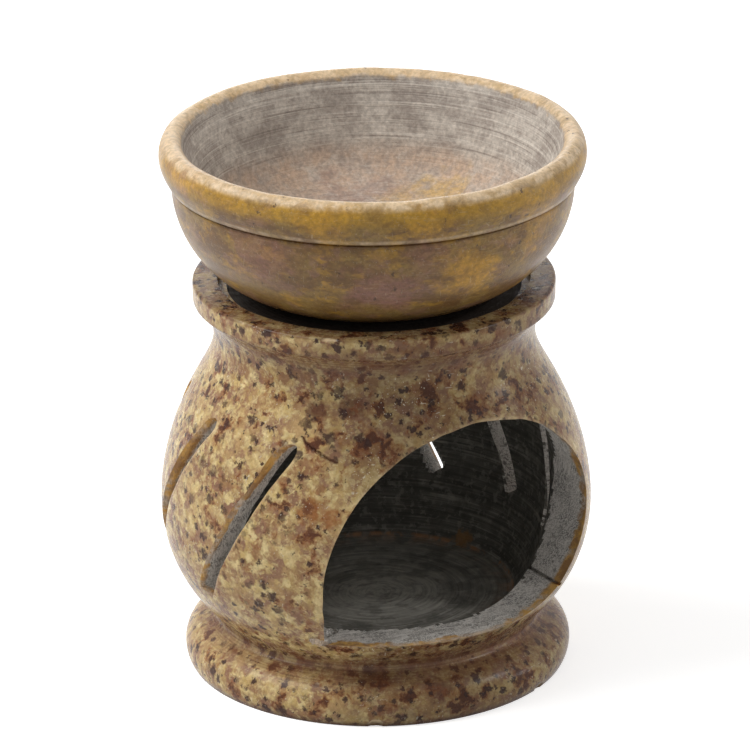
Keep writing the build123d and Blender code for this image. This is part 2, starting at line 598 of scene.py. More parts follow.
class EffectKit:
    """Node groups that the stone finishes share. Each is built once and takes its own values in each finish."""

    def __init__(self) -> None:
        """Build every group."""
        self.stone_place = self._stone_place()
        self.blotches = self._blotches()
        self.specks = self._specks()
        self.turning = self._turning()
        self.scratches = self._scratches()
        self.stain = self._stain()

    def where(self, graph: NodeGraph, measure: str) -> Socket:
        """Give one measure of the place on the stone in a finish."""
        return graph.place(self.stone_place).outputs[measure]

    def patches(self, graph: NodeGraph, **values: Any) -> Socket:
        """Place cloudy patches in a finish and give their mask."""
        return graph.place(self.blotches, **values).outputs["Mask"]

    @staticmethod
    def _group(name: str, inputs: dict[str, float | None], outputs: Sequence[str]) -> tuple[NodeGraph, Any, Any]:
        """Start a group with its sockets.

        Args:
            name: Name of the group.
            inputs: Input names with their usual value, or None for a vector.
            outputs: Output names; one that ends with Point is a vector.

        Returns:
            The graph of the group, its input node's outputs and its output node's inputs.
        """
        tree = bpy.data.node_groups.new(name, "ShaderNodeTree")
        for label, usual in inputs.items():
            kind = "NodeSocketVector" if usual is None else "NodeSocketFloat"
            socket = tree.interface.new_socket(label, in_out="INPUT", socket_type=kind)
            if usual is not None:
                socket.default_value = usual
        for label in outputs:
            kind = "NodeSocketVector" if label.endswith("Point") else "NodeSocketFloat"
            tree.interface.new_socket(label, in_out="OUTPUT", socket_type=kind)
        graph = NodeGraph(tree)
        return graph, graph.node("NodeGroupInput").outputs, graph.node("NodeGroupOutput").inputs

    def _shifted(self, graph: NodeGraph, size: Any, seed: Any, flat: Any = 1.0) -> Socket:
        """Scale the place on the stone to a size, turn it off the axes and move it to a seed's own region.

        Args:
            graph: Graph of the finish.
            size: Size of the pattern.
            seed: Seed of the pattern.
            flat: How far it is flattened.

        Returns:
            The moved place.
        """
        here = graph.place(self.stone_place).outputs["Point"]
        drawn = graph.vector("MULTIPLY", here, graph.combine(1.0, 1.0, flat))
        scaled = graph.vector("SCALE", drawn, graph.math("DIVIDE", 1.0, size))
        askew = {"Vector": scaled, "Rotation": (0.55, 0.83, 0.37)}
        turned = graph.node("ShaderNodeVectorRotate", askew, rotation_type="EULER_XYZ").outputs[0]
        offset = graph.vector("SCALE", (7.13, 3.71, 5.37), seed)
        return graph.vector("ADD", turned, offset)

    def _stone_place(self) -> Tree:
        """Place on the stone in millimetres, with its distance from the axis and its height.

        Returns:
            The node group.
        """
        graph, _, out = self._group("Stone Place", {}, ("Point", "Radius", "Height"))
        point = graph.vector("SCALE", graph.node("ShaderNodeTexCoord").outputs["Object"], 1.0 / MM)
        parts = graph.node("ShaderNodeSeparateXYZ", {0: point}).outputs
        flat = graph.combine(parts[0], parts[1], 0.0)
        radius = graph.node("ShaderNodeVectorMath", {0: flat}, operation="LENGTH").outputs["Value"]
        for name, value in (("Point", point), ("Radius", radius), ("Height", parts[2])):
            graph.feed(out[name], value)
        return graph.tree

    def _blotches(self) -> Tree:
        """Cloudy patches of a given size, cut between two levels of noise.

        Returns:
            The node group.
        """
        inputs = {"Size": 5.0, "Low": 0.5, "High": 0.6, "Warp": 0.8, "Flat": 1.0, "Detail": 5.0, "Seed": 0.0}
        graph, given, out = self._group("Stone Blotches", inputs, ("Mask", "Cloud"))
        spot = self._shifted(graph, given["Size"], given["Seed"], given["Flat"])
        drift = graph.node("ShaderNodeTexNoise", {"Vector": spot, "Scale": 1.9, "Detail": 2.0}).outputs["Color"]
        pull = graph.vector("SCALE", graph.vector("SUBTRACT", drift, (0.5, 0.5, 0.5)), given["Warp"])
        settings = {"Vector": graph.vector("ADD", spot, pull), "Scale": 1.0, "Roughness": 0.58}
        settings["Detail"] = given["Detail"]
        cloud = graph.node("ShaderNodeTexNoise", settings).outputs["Fac"]
        graph.feed(out["Mask"], graph.smooth(cloud, given["Low"], given["High"]))
        graph.feed(out["Cloud"], cloud)
        return graph.tree

    def _specks(self) -> Tree:
        """Scattered grains of uneven size and outline, in a share of the cells of a given spacing.

        Returns:
            The node group.
        """
        inputs = {"Spacing": 1.5, "Size": 0.35, "Share": 0.3, "Seed": 0.0}
        graph, given, out = self._group("Stone Specks", inputs, ("Mask", "Heart"))
        spot = self._shifted(graph, given["Spacing"], given["Seed"])
        ragged = graph.node("ShaderNodeTexNoise", {"Vector": spot, "Scale": 3.4, "Detail": 3.0}).outputs["Color"]
        pulled = graph.vector("ADD", spot, graph.vector("SCALE", ragged, 0.9))
        cells = graph.node("ShaderNodeTexVoronoi", {"Vector": pulled, "Scale": 1.0})
        lot = graph.node("ShaderNodeSeparateColor", {0: cells.outputs["Color"]}).outputs
        reach = graph.math("DIVIDE", given["Size"], given["Spacing"])
        reach = graph.times(reach, graph.span(lot[1], 0.55, 1.45))
        inside = graph.smooth(cells.outputs["Distance"], reach, graph.times(reach, 0.5))
        heart = graph.smooth(cells.outputs["Distance"], graph.times(reach, 0.6), graph.times(reach, 0.3))
        chosen = graph.math("LESS_THAN", lot[0], given["Share"])
        graph.feed(out["Mask"], graph.times(inside, chosen))
        graph.feed(out["Heart"], graph.times(heart, graph.times(chosen, lot[2])))
        return graph.tree

    def _turning(self) -> Tree:
        """Lines that a turning tool leaves round the axis, broken up along their length.

        Returns:
            The node group.
        """
        inputs = {"Pitch": 0.8, "Breaks": 3.0, "Seed": 0.0}
        graph, given, out = self._group("Turning Lines", inputs, ("Lines",))
        here = graph.place(self.stone_place).outputs
        parts = graph.node("ShaderNodeSeparateXYZ", {0: here["Point"]}).outputs
        radius = graph.math("MAXIMUM", here["Radius"], 0.01)
        across = graph.times(graph.math("DIVIDE", parts[0], radius), given["Breaks"])
        deep = graph.times(graph.math("DIVIDE", parts[1], radius), given["Breaks"])
        ring = graph.combine(
            graph.math("ADD", graph.math("DIVIDE", here["Radius"], given["Pitch"]), given["Seed"]),
            graph.math("DIVIDE", here["Height"], given["Pitch"]),
            across,
        )
        settings = {"Vector": ring, "W": deep, "Scale": 1.0, "Detail": 2.0, "Roughness": 0.6}
        graph.feed(out["Lines"], graph.node("ShaderNodeTexNoise", settings, noise_dimensions="4D").outputs["Fac"])
        return graph.tree

    def _scratches(self) -> Tree:
        """Fine straight scratches that lie in three directions.

        Returns:
            The node group.
        """
        inputs = {"Length": 4.0, "Width": 0.25, "Level": 0.7, "Seed": 0.0}
        graph, given, out = self._group("Stone Scratches", inputs, ("Mask",))
        here = self._shifted(graph, 1.0, given["Seed"])
        top = graph.math("ADD", given["Level"], 0.06)
        total: Any = 0.0
        for turn in ((0.3, 0.5, 0.9), (1.1, -0.4, 2.2), (-0.6, 1.3, 0.2)):
            turned = graph.node("ShaderNodeVectorRotate", {"Vector": here, "Rotation": turn}, rotation_type="EULER_XYZ")
            thin = graph.math("DIVIDE", 1.0, given["Width"])
            scale = graph.combine(graph.math("DIVIDE", 1.0, given["Length"]), thin, thin)
            drawn = graph.vector("MULTIPLY", turned.outputs[0], scale)
            grain = graph.node("ShaderNodeTexNoise", {"Vector": drawn, "Scale": 1.0, "Detail": 0.0}).outputs["Fac"]
            total = graph.math("MAXIMUM", total, graph.smooth(grain, given["Level"], top))
        graph.feed(out["Mask"], total)
        return graph.tree

    def _stain(self) -> Tree:
        """One patch at a given place, with a ragged edge.

        Returns:
            The node group.
        """
        inputs: dict[str, float | None] = {"Centre": None, "Reach": 5.0, "Soft": 0.5, "Ragged": 0.35, "Seed": 0.0}
        graph, given, out = self._group("Stone Stain", inputs, ("Mask",))
        here = graph.place(self.stone_place).outputs["Point"]
        away = graph.vector("SUBTRACT", here, given["Centre"])
        gap = graph.node("ShaderNodeVectorMath", {0: away}, operation="LENGTH").outputs["Value"]
        size = graph.times(given["Reach"], 0.45)
        vector = self._shifted(graph, size, given["Seed"])
        cloud = graph.node("ShaderNodeTexNoise", {"Vector": vector, "Scale": 1.0, "Detail": 6.0}).outputs["Fac"]
        swing = graph.times(graph.minus(cloud, 0.5), given["Ragged"])
        share = graph.math("ADD", graph.math("DIVIDE", gap, given["Reach"]), graph.times(swing, 4.0))
        inner = graph.minus(1.0, given["Soft"])
        graph.feed(out["Mask"], graph.minus(1.0, graph.smooth(share, inner, 1.0)))
        return graph.tree


@dataclass(frozen=True)
class Stain:
    """A patch of colour at one place on the stone."""

    bearing: float
    radius: float
    height: float
    reach: float
    colour: Colour
    amount: float = 0.8
    soft: float = 0.6
    ragged: float = 0.4

    @classmethod
    def several(cls, rows: Sequence[tuple[Any, ...]]) -> tuple["Stain", ...]:
        """Make several patches, each from its fields in their order."""
        return tuple(cls(*row) for row in rows)

    def lay(self, graph: NodeGraph, kit: EffectKit, under: Any, seed: float) -> Socket:
        """Lay the patch over a colour.

        Args:
            graph: Graph of the finish.
            kit: Shared node groups.
            under: Colour that the patch lies on.
            seed: Seed of its ragged edge.

        Returns:
            The new colour.
        """
        return graph.mix(graph.times(self.mask(graph, kit, seed), self.amount), under, self.colour)

    def mask(self, graph: NodeGraph, kit: EffectKit, seed: float) -> Socket:
        """Give the ragged shape of the patch.

        Args:
            graph: Graph of the finish.
            kit: Shared effects.
            seed: Seed of the pattern.

        Returns:
            Mask of the patch.
        """
        centre = tuple(on_bearing(self.bearing, self.radius, self.height))
        spot = graph.place(kit.stain, centre=centre, reach=self.reach, soft=self.soft, ragged=self.ragged, seed=seed)
        return spot.outputs[0]


@dataclass(frozen=True)
class StoneFinish:
    """What every stone finish has: a name, its gloss and the depth of its relief."""

    name: str
    smooth: float
    rough: float
    specular: float
    relief: float

    def start(self) -> tuple[Material, NodeGraph]:
        """Start the material with an empty tree.

        Returns:
            The material and its graph.
        """
        made = bpy.data.materials.new(self.name)
        made.use_nodes = True
        made.node_tree.nodes.clear()
        return made, NodeGraph(made.node_tree)

    def close(self, graph: NodeGraph, colour: Any, gloss: Any, height: Any) -> None:
        """Put the shader on.

        Args:
            graph: Graph of the finish.
            colour: Base colour.
            gloss: Share of roughness, from 0 for smooth to 1 for rough.
            height: Relief for the bump, as a share of its depth.
        """
        rough = graph.span(gloss, self.smooth, self.rough)
        bump = graph.node("ShaderNodeBump", {"Strength": 1.0, "Distance": self.relief * MM, "Height": height})
        shader = graph.node(
            "ShaderNodeBsdfPrincipled",
            {
                "Base Color": colour,
                "Roughness": rough,
                "Specular IOR Level": self.specular,
                "Normal": bump.outputs[0],
            },
        )
        graph.node("ShaderNodeOutputMaterial", {"Surface": shader.outputs[0]})


@dataclass(frozen=True)
class MottledSkin(StoneFinish):
    """Waxed outside of the body: a cream net over pinkish tan, with rust clouds, plum spots and fine specks, and
    painted shade under the overhangs, in the waist and the cove and along the base.
    """

    sand: Colour = tone(182, 150, 104)
    clay: Colour = tone(146, 108, 74)
    cream: Colour = tone(220, 199, 146)
    straw: Colour = tone(192, 164, 106)
    mauve: Colour = tone(140, 104, 84)
    rust: Colour = tone(142, 86, 48)
    maroon: Colour = tone(80, 44, 32)
    plum: Colour = tone(58, 36, 32)
    ash: Colour = tone(136, 108, 92)
    speck: Colour = tone(40, 28, 26)
    crystal: Colour = tone(224, 214, 192)
    edge: Colour = tone(208, 184, 144)
    # Dark brown of the crack, also laid on the base as painted contact shadow.
    rift: Colour = tone(72, 40, 26)
    waist_height: float = 9.6
    cove_height: float = 69.5
    # Zones of dark grains that also take painted shade.
    dense_and_shaded: tuple[Stain, ...] = ()
    stains: tuple[Stain, ...] = ()

    def make(self, kit: EffectKit) -> Material:
        """Build the material.

        Args:
            kit: Shared effects.

        Returns:
            The material.
        """
        made, graph = self.start()
        grains_and_shade = self._grains_and_shade(graph, kit)
        colour = self._ground(graph, kit, grains_and_shade)
        for number, stain in enumerate(self.stains):
            colour = stain.lay(graph, kit, colour, 20.0 + number)
        colour = self._spots(graph, kit, colour, grains_and_shade)
        # Painted shade: the colour is darkened by the same mask, on the collar's top under the bowl and in the zones
        # under the collar, bulb and bowl.
        depth = graph.span(grains_and_shade, 1.0, 0.58)
        colour = graph.mix(1.0, colour, graph.combine(depth, depth, depth), "MULTIPLY")
        fine = graph.place(kit.blotches, size=0.8, low=0.34, high=0.66, seed=10.0).outputs
        shade = graph.span(fine["Mask"], 0.9, 1.09)
        colour = graph.mix(1.0, colour, graph.combine(shade, shade, shade), "MULTIPLY")
        specks = graph.place(kit.specks, spacing=1.9, size=0.34, share=0.34, seed=6.0).outputs["Mask"]
        colour = graph.tint(colour, self.speck, specks, 0.8)
        nicks = self._nicks(graph, kit)
        colour = graph.tint(colour, self.crystal, nicks, 0.6)
        lines = graph.place(kit.turning, pitch=0.4, breaks=2.4, seed=9.0).outputs["Lines"]
        colour = self._painted_hollow_shade(graph, kit, colour, lines)
        bare = self._bare(graph, kit)
        colour = graph.mix(bare, colour, self.edge)
        # Painted contact shadow: the lowest 1.5 mm of the foot darkened with the crack's dark brown.
        painted_base_shadow = graph.smooth(kit.where(graph, "Height"), 1.5, 0.1)
        colour = graph.tint(colour, self.rift, painted_base_shadow, 0.75)
        rift = graph.minus(1.0, graph.smooth(graph.read(Field.CRACK), 0.08, 0.5))
        colour = graph.tint(colour, self.rift, rift, 0.9)
        height = graph.math("ADD", graph.times(lines, 0.2), graph.times(fine["Cloud"], 0.6))
        height = graph.minus(height, graph.times(specks, 0.9))
        height = graph.minus(height, graph.times(nicks, 0.6))
        gloss = graph.math("ADD", graph.times(fine["Cloud"], 0.6), graph.times(bare, 0.6), clamp=True)
        self.close(graph, colour, gloss, height)
        return made

    def _grains_and_shade(self, graph: NodeGraph, kit: EffectKit) -> Socket:
        """Share of dark grains in the stone and of painted shade, high in the dense and shaded zones and on the top of
        the collar under the bowl.

        Args:
            graph: Graph of the finish.
            kit: Shared effects.

        Returns:
            Share from 0 to 1.
        """
        height = kit.where(graph, "Height")
        # Painted shade on the top of the collar, where the bowl overhangs it.
        total: Any = graph.times(graph.smooth(height, self.cove_height + 4.6, self.cove_height + 5.2), 0.9)
        for number, zone in enumerate(self.dense_and_shaded):
            total = graph.math("MAXIMUM", total, graph.times(zone.mask(graph, kit, 40.0 + number), zone.amount))
        return total

    def _ground(self, graph: NodeGraph, kit: EffectKit, grains_and_shade: Any) -> Socket:
        """Colour of the ground: sand to clay, mauve clouds and the cream net between them.

        Args:
            graph: Graph of the finish.
            kit: Shared effects.
            grains_and_shade: Share of dark grains and of painted shade.

        Returns:
            The new colour.
        """
        drift = kit.patches(graph, size=8.0, low=0.38, high=0.62, seed=1.0)
        brown = graph.math("MAXIMUM", drift, graph.times(grains_and_shade, 0.6))
        colour = graph.mix(brown, self.sand, self.clay)
        mauve = kit.patches(graph, size=3.8, low=0.42, high=0.60, detail=3.5, seed=2.0)
        colour = graph.tint(colour, self.mauve, mauve, 0.82)
        net = kit.patches(graph, size=2.8, low=0.43, high=0.64, warp=1.2, detail=3.5, seed=4.0)
        beads = kit.patches(graph, size=1.5, low=0.52, high=0.64, detail=2.0, seed=17.0)
        net = graph.math("MAXIMUM", net, graph.times(beads, 0.7))
        thin = graph.span(grains_and_shade, 0.95, 0.66)
        milky = kit.patches(graph, size=1.7, low=0.36, high=0.64, detail=3.0, seed=18.0)
        return graph.mix(graph.times(net, thin), colour, graph.mix(milky, self.straw, self.cream))

    def _spots(self, graph: NodeGraph, kit: EffectKit, colour: Any, grains_and_shade: Any) -> Socket:
        """Lay rust clouds with maroon hearts, and plum spots with ashen hearts, over the ground.

        Args:
            graph: Graph of the finish.
            kit: Shared effects.
            colour: Colour underneath.
            grains_and_shade: Share of dark grains and of painted shade.

        Returns:
            The new colour.
        """
        near = graph.span(grains_and_shade, 0.0, 0.055)
        rust = graph.place(
            kit.blotches, size=4.2, low=graph.minus(0.54, near), high=graph.minus(0.64, near), seed=3.0
        ).outputs
        colour = graph.tint(colour, self.rust, rust["Mask"], 0.72)
        heart = graph.smooth(graph.math("ADD", rust["Cloud"], near), 0.60, 0.67)
        colour = graph.tint(colour, self.maroon, heart, 0.85)
        patchy = kit.patches(graph, size=7.0, low=0.40, high=0.56, seed=13.0)
        amount = graph.span(graph.math("MAXIMUM", patchy, grains_and_shade), 0.5, 0.95)
        for spacing, size, share, seed in ((2.9, 1.1, 0.55, 5.0), (1.7, 0.66, 0.5, 15.0)):
            plum = graph.place(kit.specks, spacing=spacing, size=size, share=share, seed=seed).outputs
            colour = graph.mix(graph.times(plum["Mask"], amount), colour, self.plum)
            colour = graph.tint(colour, self.ash, plum["Heart"], 0.15)
        return colour

    def _nicks(self, graph: NodeGraph, kit: EffectKit) -> Socket:
        """Pale crystals and a few short nicks, in loose groups.

        Args:
            graph: Graph of the finish.
            kit: Shared effects.

        Returns:
            Mask of the marks.
        """
        nicks = graph.place(kit.scratches, length=1.8, width=0.3, level=0.77, seed=8.0).outputs["Mask"]
        crystals = graph.place(kit.specks, spacing=3.6, size=0.55, share=0.3, seed=16.0).outputs["Mask"]
        group = kit.patches(graph, size=8.0, low=0.48, high=0.6, seed=14.0)
        return graph.times(graph.math("MAXIMUM", nicks, crystals), graph.span(group, 0.1, 1.0))

    def _bare(self, graph: NodeGraph, kit: EffectKit) -> Socket:
        """Places where the wax is rubbed off: along the cut edges, and in the chips.

        Args:
            graph: Graph of the finish.
            kit: Shared effects.

        Returns:
            Mask of the places.
        """
        worn = graph.minus(1.0, graph.smooth(graph.read(Field.CUT_GAP), 0.05, 0.6))
        rubbed = kit.patches(graph, size=3.0, low=0.42, high=0.62, seed=12.0)
        worn = graph.times(worn, graph.span(rubbed, 0.1, 0.6))
        return graph.math("MAXIMUM", worn, graph.times(graph.read(Field.CHIP), 0.85))

    def _painted_hollow_shade(self, graph: NodeGraph, kit: EffectKit, colour: Any, lines: Any) -> Socket:
        """Paint shade into the waist and the cove under the collar, streaked along the turning lines.

        Args:
            graph: Graph of the finish.
            kit: Shared effects.
            colour: Colour underneath.
            lines: Turning lines.

        Returns:
            The new colour.
        """
        height = kit.where(graph, "Height")
        deep: Any = 0.0
        for level, reach in ((self.waist_height, 4.2), (self.cove_height, 4.6)):
            gap = graph.math("ABSOLUTE", graph.minus(height, level))
            deep = graph.math("MAXIMUM", deep, graph.minus(1.0, graph.smooth(gap, 0.0, reach)))
        streak = graph.smooth(lines, 0.35, 0.65)
        # Painted shade: mauve, then maroon, laid into the waist and the cove.
        colour = graph.tint(colour, self.mauve, deep, 0.35)
        shade = graph.times(graph.span(deep, 0.0, 0.5), graph.minus(1.0, streak))
        return graph.mix(shade, colour, self.maroon)


@dataclass(frozen=True)
class SawnStone(StoneFinish):
    """Raw grey cut faces: scratched, with the warm tone of the skin along the outer edge."""

    grey: Colour = tone(200, 194, 186)
    pale: Colour = tone(236, 231, 224)
    dark: Colour = tone(114, 109, 103)
    ochre: Colour = tone(224, 174, 92)
    brown: Colour = tone(170, 126, 78)
    stains: tuple[Stain, ...] = ()
    warm_places: tuple[Stain, ...] = ()

    def make(self, kit: EffectKit) -> Material:
        """Build the material.

        Args:
            kit: Shared effects.

        Returns:
            The material.
        """
        made, graph = self.start()
        clouds = kit.patches(graph, size=2.6, low=0.38, high=0.62, seed=31.0)
        colour = graph.mix(graph.times(clouds, 0.7), self.grey, self.dark)
        scores = graph.place(kit.scratches, length=7.0, width=0.26, level=0.57, seed=32.0).outputs["Mask"]
        colour = graph.tint(colour, self.pale, scores, 0.75)
        specks = graph.place(kit.specks, spacing=1.5, size=0.45, share=0.35, seed=33.0).outputs["Mask"]
        colour = graph.tint(colour, self.dark, specks, 0.7)
        for number, stain in enumerate(self.stains):
            colour = stain.lay(graph, kit, colour, 36.0 + number)
        edge = graph.place(kit.blotches, size=2.2, low=0.38, high=0.62, seed=34.0).outputs
        patches = kit.patches(graph, size=6.0, low=0.40, high=0.58, seed=37.0)
        for number, place in enumerate(self.warm_places):
            patches = graph.math("MAXIMUM", patches, place.mask(graph, kit, 38.0 + number))
        depth = graph.minus(graph.read(Field.SKIN_DEPTH), graph.times(patches, 0.7))
        depth = graph.minus(depth, graph.times(edge["Cloud"], 1.9))
        warm = graph.minus(1.0, graph.smooth(depth, -0.3, 0.5))
        tint = graph.mix(edge["Mask"], self.ochre, self.brown)
        colour = graph.mix(graph.times(warm, graph.span(patches, 0.35, 0.95)), colour, tint)
        fine = graph.place(kit.blotches, size=0.6, low=0.3, high=0.7, seed=35.0).outputs["Cloud"]
        height = graph.minus(fine, graph.times(scores, 0.8))
        self.close(graph, colour, fine, height)
        return made


@dataclass(frozen=True)
class TurnedHollow(StoneFinish):
    """Raw inside of the body: dark grey with the rings of the tool, a rusty line at the floor, and painted shade near
    black on the throat, shelf and mouth under the bowl.
    """

    grey: Colour = tone(130, 127, 119)
    dark: Colour = tone(82, 80, 74)
    pale: Colour = tone(190, 186, 176)
    rust: Colour = tone(176, 120, 70)
    # Near black of the painted shade under the bowl.
    shelf_shade_dark: Colour = tone(34, 24, 18)
    floor_height: float = 12.4
    shelf_height: float = 73.5
    stains: tuple[Stain, ...] = ()

    def make(self, kit: EffectKit) -> Material:
        """Build the material.

        Args:
            kit: Shared effects.

        Returns:
            The material.
        """
        made, graph = self.start()
        lines = graph.place(kit.turning, pitch=0.55, breaks=1.5, seed=41.0).outputs["Lines"]
        clouds = kit.patches(graph, size=3.4, low=0.38, high=0.62, seed=42.0)
        colour = graph.mix(graph.smooth(lines, 0.3, 0.7), self.dark, self.grey)
        colour = graph.mix(graph.times(graph.smooth(lines, 0.56, 0.72), 0.5), colour, self.pale)
        colour = graph.tint(colour, self.dark, clouds, 0.6)
        bruise = kit.patches(graph, size=1.2, low=0.54, high=0.62, seed=45.0)
        colour = graph.tint(colour, self.pale, bruise, 0.25)
        specks = graph.place(kit.specks, spacing=2.2, size=0.7, share=0.4, seed=43.0).outputs["Mask"]
        colour = graph.tint(colour, self.dark, specks, 0.75)
        height = kit.where(graph, "Height")
        edge = kit.patches(graph, size=4.0, low=0.42, high=0.6, seed=44.0)
        gap = graph.math("ABSOLUTE", graph.minus(height, self.floor_height + 0.3))
        line = graph.times(graph.minus(1.0, graph.smooth(gap, 0.1, 0.6)), edge)
        colour = graph.tint(colour, self.rust, line, 0.75)
        flat = graph.smooth(height, self.floor_height + 0.8, self.floor_height - 0.2)
        radius = kit.where(graph, "Radius")
        dust = graph.times(flat, graph.span(graph.smooth(radius, 20.0, 5.0), 0.3, 0.75))
        colour = graph.mix(graph.times(dust, graph.span(lines, -0.1, 2.0)), colour, self.pale)
        scuff = kit.patches(graph, size=4.5, low=0.46, high=0.62, seed=46.0)
        colour = graph.mix(graph.times(graph.times(flat, scuff), 0.5), colour, self.dark)
        for number, stain in enumerate(self.stains):
            colour = stain.lay(graph, kit, colour, 47.0 + number)
        # Painted shade: near black over the top of the throat, the shelf and the mouth, where the bowl sits.
        painted_shelf_shade = graph.smooth(height, self.shelf_height - 3.0, self.shelf_height - 0.3)
        colour = graph.tint(colour, self.shelf_shade_dark, painted_shelf_shade, 0.92)
        self.close(graph, colour, clouds, lines)
        return made


@dataclass(frozen=True)
class BowlStone(StoneFinish):
    """Bowl of one stone: waxed olive, ochre and mauve outside, raw grey with pale turning lines in the well."""

    olive: Colour = tone(142, 114, 64)
    brown: Colour = tone(112, 82, 48)
    ochre: Colour = tone(190, 146, 54)
    mauve: Colour = tone(148, 112, 96)
    # Pale of the worn lip, which also serves as painted highlight on the lip and the bead.
    lip: Colour = tone(218, 193, 160)
    # Dark brown of the painted shade in the corner under the rim.
    seam_shade: Colour = tone(78, 54, 34)
    speck: Colour = tone(62, 44, 38)
    scratch: Colour = tone(212, 196, 166)
    grey: Colour = tone(192, 183, 172)
    taupe: Colour = tone(148, 137, 128)
    chalk: Colour = tone(226, 218, 206)
    blush: Colour = tone(192, 164, 140)
    rim_height: float = 102.7
    seam_height: float = 94.4
    stains: tuple[Stain, ...] = ()
    well_stains: tuple[Stain, ...] = ()

    def make(self, kit: EffectKit) -> Material:
        """Build the material.

        Args:
            kit: Shared effects.

        Returns:
            The material.
        """
        made, graph = self.start()
        fine = graph.place(kit.blotches, size=0.7, low=0.34, high=0.66, seed=62.0).outputs
        outside, marks = self._outside(graph, kit)
        inside, lines = self._inside(graph, kit)
        edge = graph.place(kit.blotches, size=2.2, low=0.3, high=0.7, seed=61.0).outputs["Cloud"]
        well = graph.math("ADD", graph.read(Field.WELL), graph.times(graph.minus(edge, 0.5), 1.2))
        well = graph.smooth(well, 0.25, 0.75)
        colour = graph.mix(well, outside, inside)
        shade = graph.span(fine["Mask"], 0.84, 1.14)
        colour = graph.mix(1.0, colour, graph.combine(shade, shade, shade), "MULTIPLY")
        height = graph.math("ADD", fine["Cloud"], graph.times(lines, graph.span(well, 0.4, 1.6)))
        height = graph.minus(height, marks)
        gloss = graph.math("ADD", graph.times(fine["Cloud"], 0.5), graph.times(well, 0.6), clamp=True)
        self.close(graph, colour, gloss, height)
        return made

    def _outside(self, graph: NodeGraph, kit: EffectKit) -> tuple[Socket, Socket]:
        """Colour of the waxed outside, and its specks and nicks as a mask.

        Args:
            graph: Graph of the finish.
            kit: Shared effects.

        Returns:
            The colour and the mask.
        """
        clouds = kit.patches(graph, size=8.0, low=0.40, high=0.60, flat=1.7, seed=51.0)
        colour = graph.mix(clouds, self.olive, self.brown)
        cast = kit.patches(graph, size=5.0, low=0.50, high=0.64, flat=1.5, seed=53.0)
        colour = graph.tint(colour, self.mauve, cast, 0.5)
        warm = kit.patches(graph, size=6.0, low=0.52, high=0.64, flat=2.0, seed=52.0)
        colour = graph.tint(colour, self.ochre, warm, 0.55)
        for number, stain in enumerate(self.stains):
            colour = stain.lay(graph, kit, colour, 70.0 + number)
        mottle = kit.patches(graph, size=1.5, low=0.44, high=0.62, flat=1.4, seed=63.0)
        colour = graph.tint(colour, self.brown, mottle, 0.4)
        height = kit.where(graph, "Height")
        colour = self._rim(graph, kit, colour, height)
        specks = graph.place(kit.specks, spacing=2.4, size=0.36, share=0.3, seed=54.0).outputs["Mask"]
        colour = graph.tint(colour, self.speck, specks, 0.75)
        nicks = graph.place(kit.scratches, length=2.2, width=0.26, level=0.76, seed=55.0).outputs["Mask"]
        colour = graph.tint(colour, self.scratch, nicks, 0.2)
        streak = graph.place(kit.turning, pitch=0.3, breaks=9.0, seed=64.0).outputs["Lines"]
        colour = graph.mix(graph.times(graph.smooth(streak, 0.55, 0.72), 0.1), colour, self.scratch)
        return colour, graph.math("ADD", graph.times(specks, 0.6), graph.times(nicks, 0.5))

    def _rim(self, graph: NodeGraph, kit: EffectKit, colour: Any, height: Any) -> Socket:
        """Warm the rim, make its lip pale with wear and painted highlight, paint a highlight along the bead, and paint
        shade into the corner under it.

        Args:
            graph: Graph of the finish.
            kit: Shared effects.
            colour: Colour underneath.
            height: Height on the stone.

        Returns:
            The new colour.
        """
        ragged = graph.place(kit.blotches, size=3.0, low=0.40, high=0.62, seed=65.0).outputs
        up = graph.math("ADD", height, graph.times(graph.minus(ragged["Cloud"], 0.5), 5.0))
        gold = graph.smooth(up, self.seam_height + 2.5, self.seam_height + 5.5)
        colour = graph.mix(graph.times(gold, graph.span(ragged["Mask"], 0.75, 0.3)), colour, self.ochre)
        radius = kit.where(graph, "Radius")
        inner = graph.math("ADD", radius, graph.times(graph.minus(ragged["Cloud"], 0.5), 4.0))
        # The pale lip: partly wear, partly painted highlight along the top of the rim.
        high = graph.smooth(height, self.rim_height - 2.0, self.rim_height - 0.8)
        top = graph.times(high, graph.smooth(inner, 39.7, 37.7))
        colour = graph.mix(graph.times(top, graph.span(ragged["Mask"], 0.9, 0.5)), colour, self.lip)
        # Painted highlight: a pale line along the bead just over the seam.
        bead_highlight = graph.minus(height, self.seam_height + 0.75)
        bead_highlight = graph.minus(1.0, graph.smooth(graph.math("ABSOLUTE", bead_highlight), 0.1, 0.6))
        colour = graph.mix(graph.times(bead_highlight, graph.span(ragged["Mask"], 0.5, 0.15)), colour, self.lip)
        # Painted shade: the corner under the rim darkened with the seam's dark brown.
        gap = graph.math("ABSOLUTE", graph.minus(height, self.seam_height))
        corner = graph.minus(1.0, graph.smooth(gap, 0.1, 0.6))
        return graph.tint(colour, self.seam_shade, corner, 0.35)

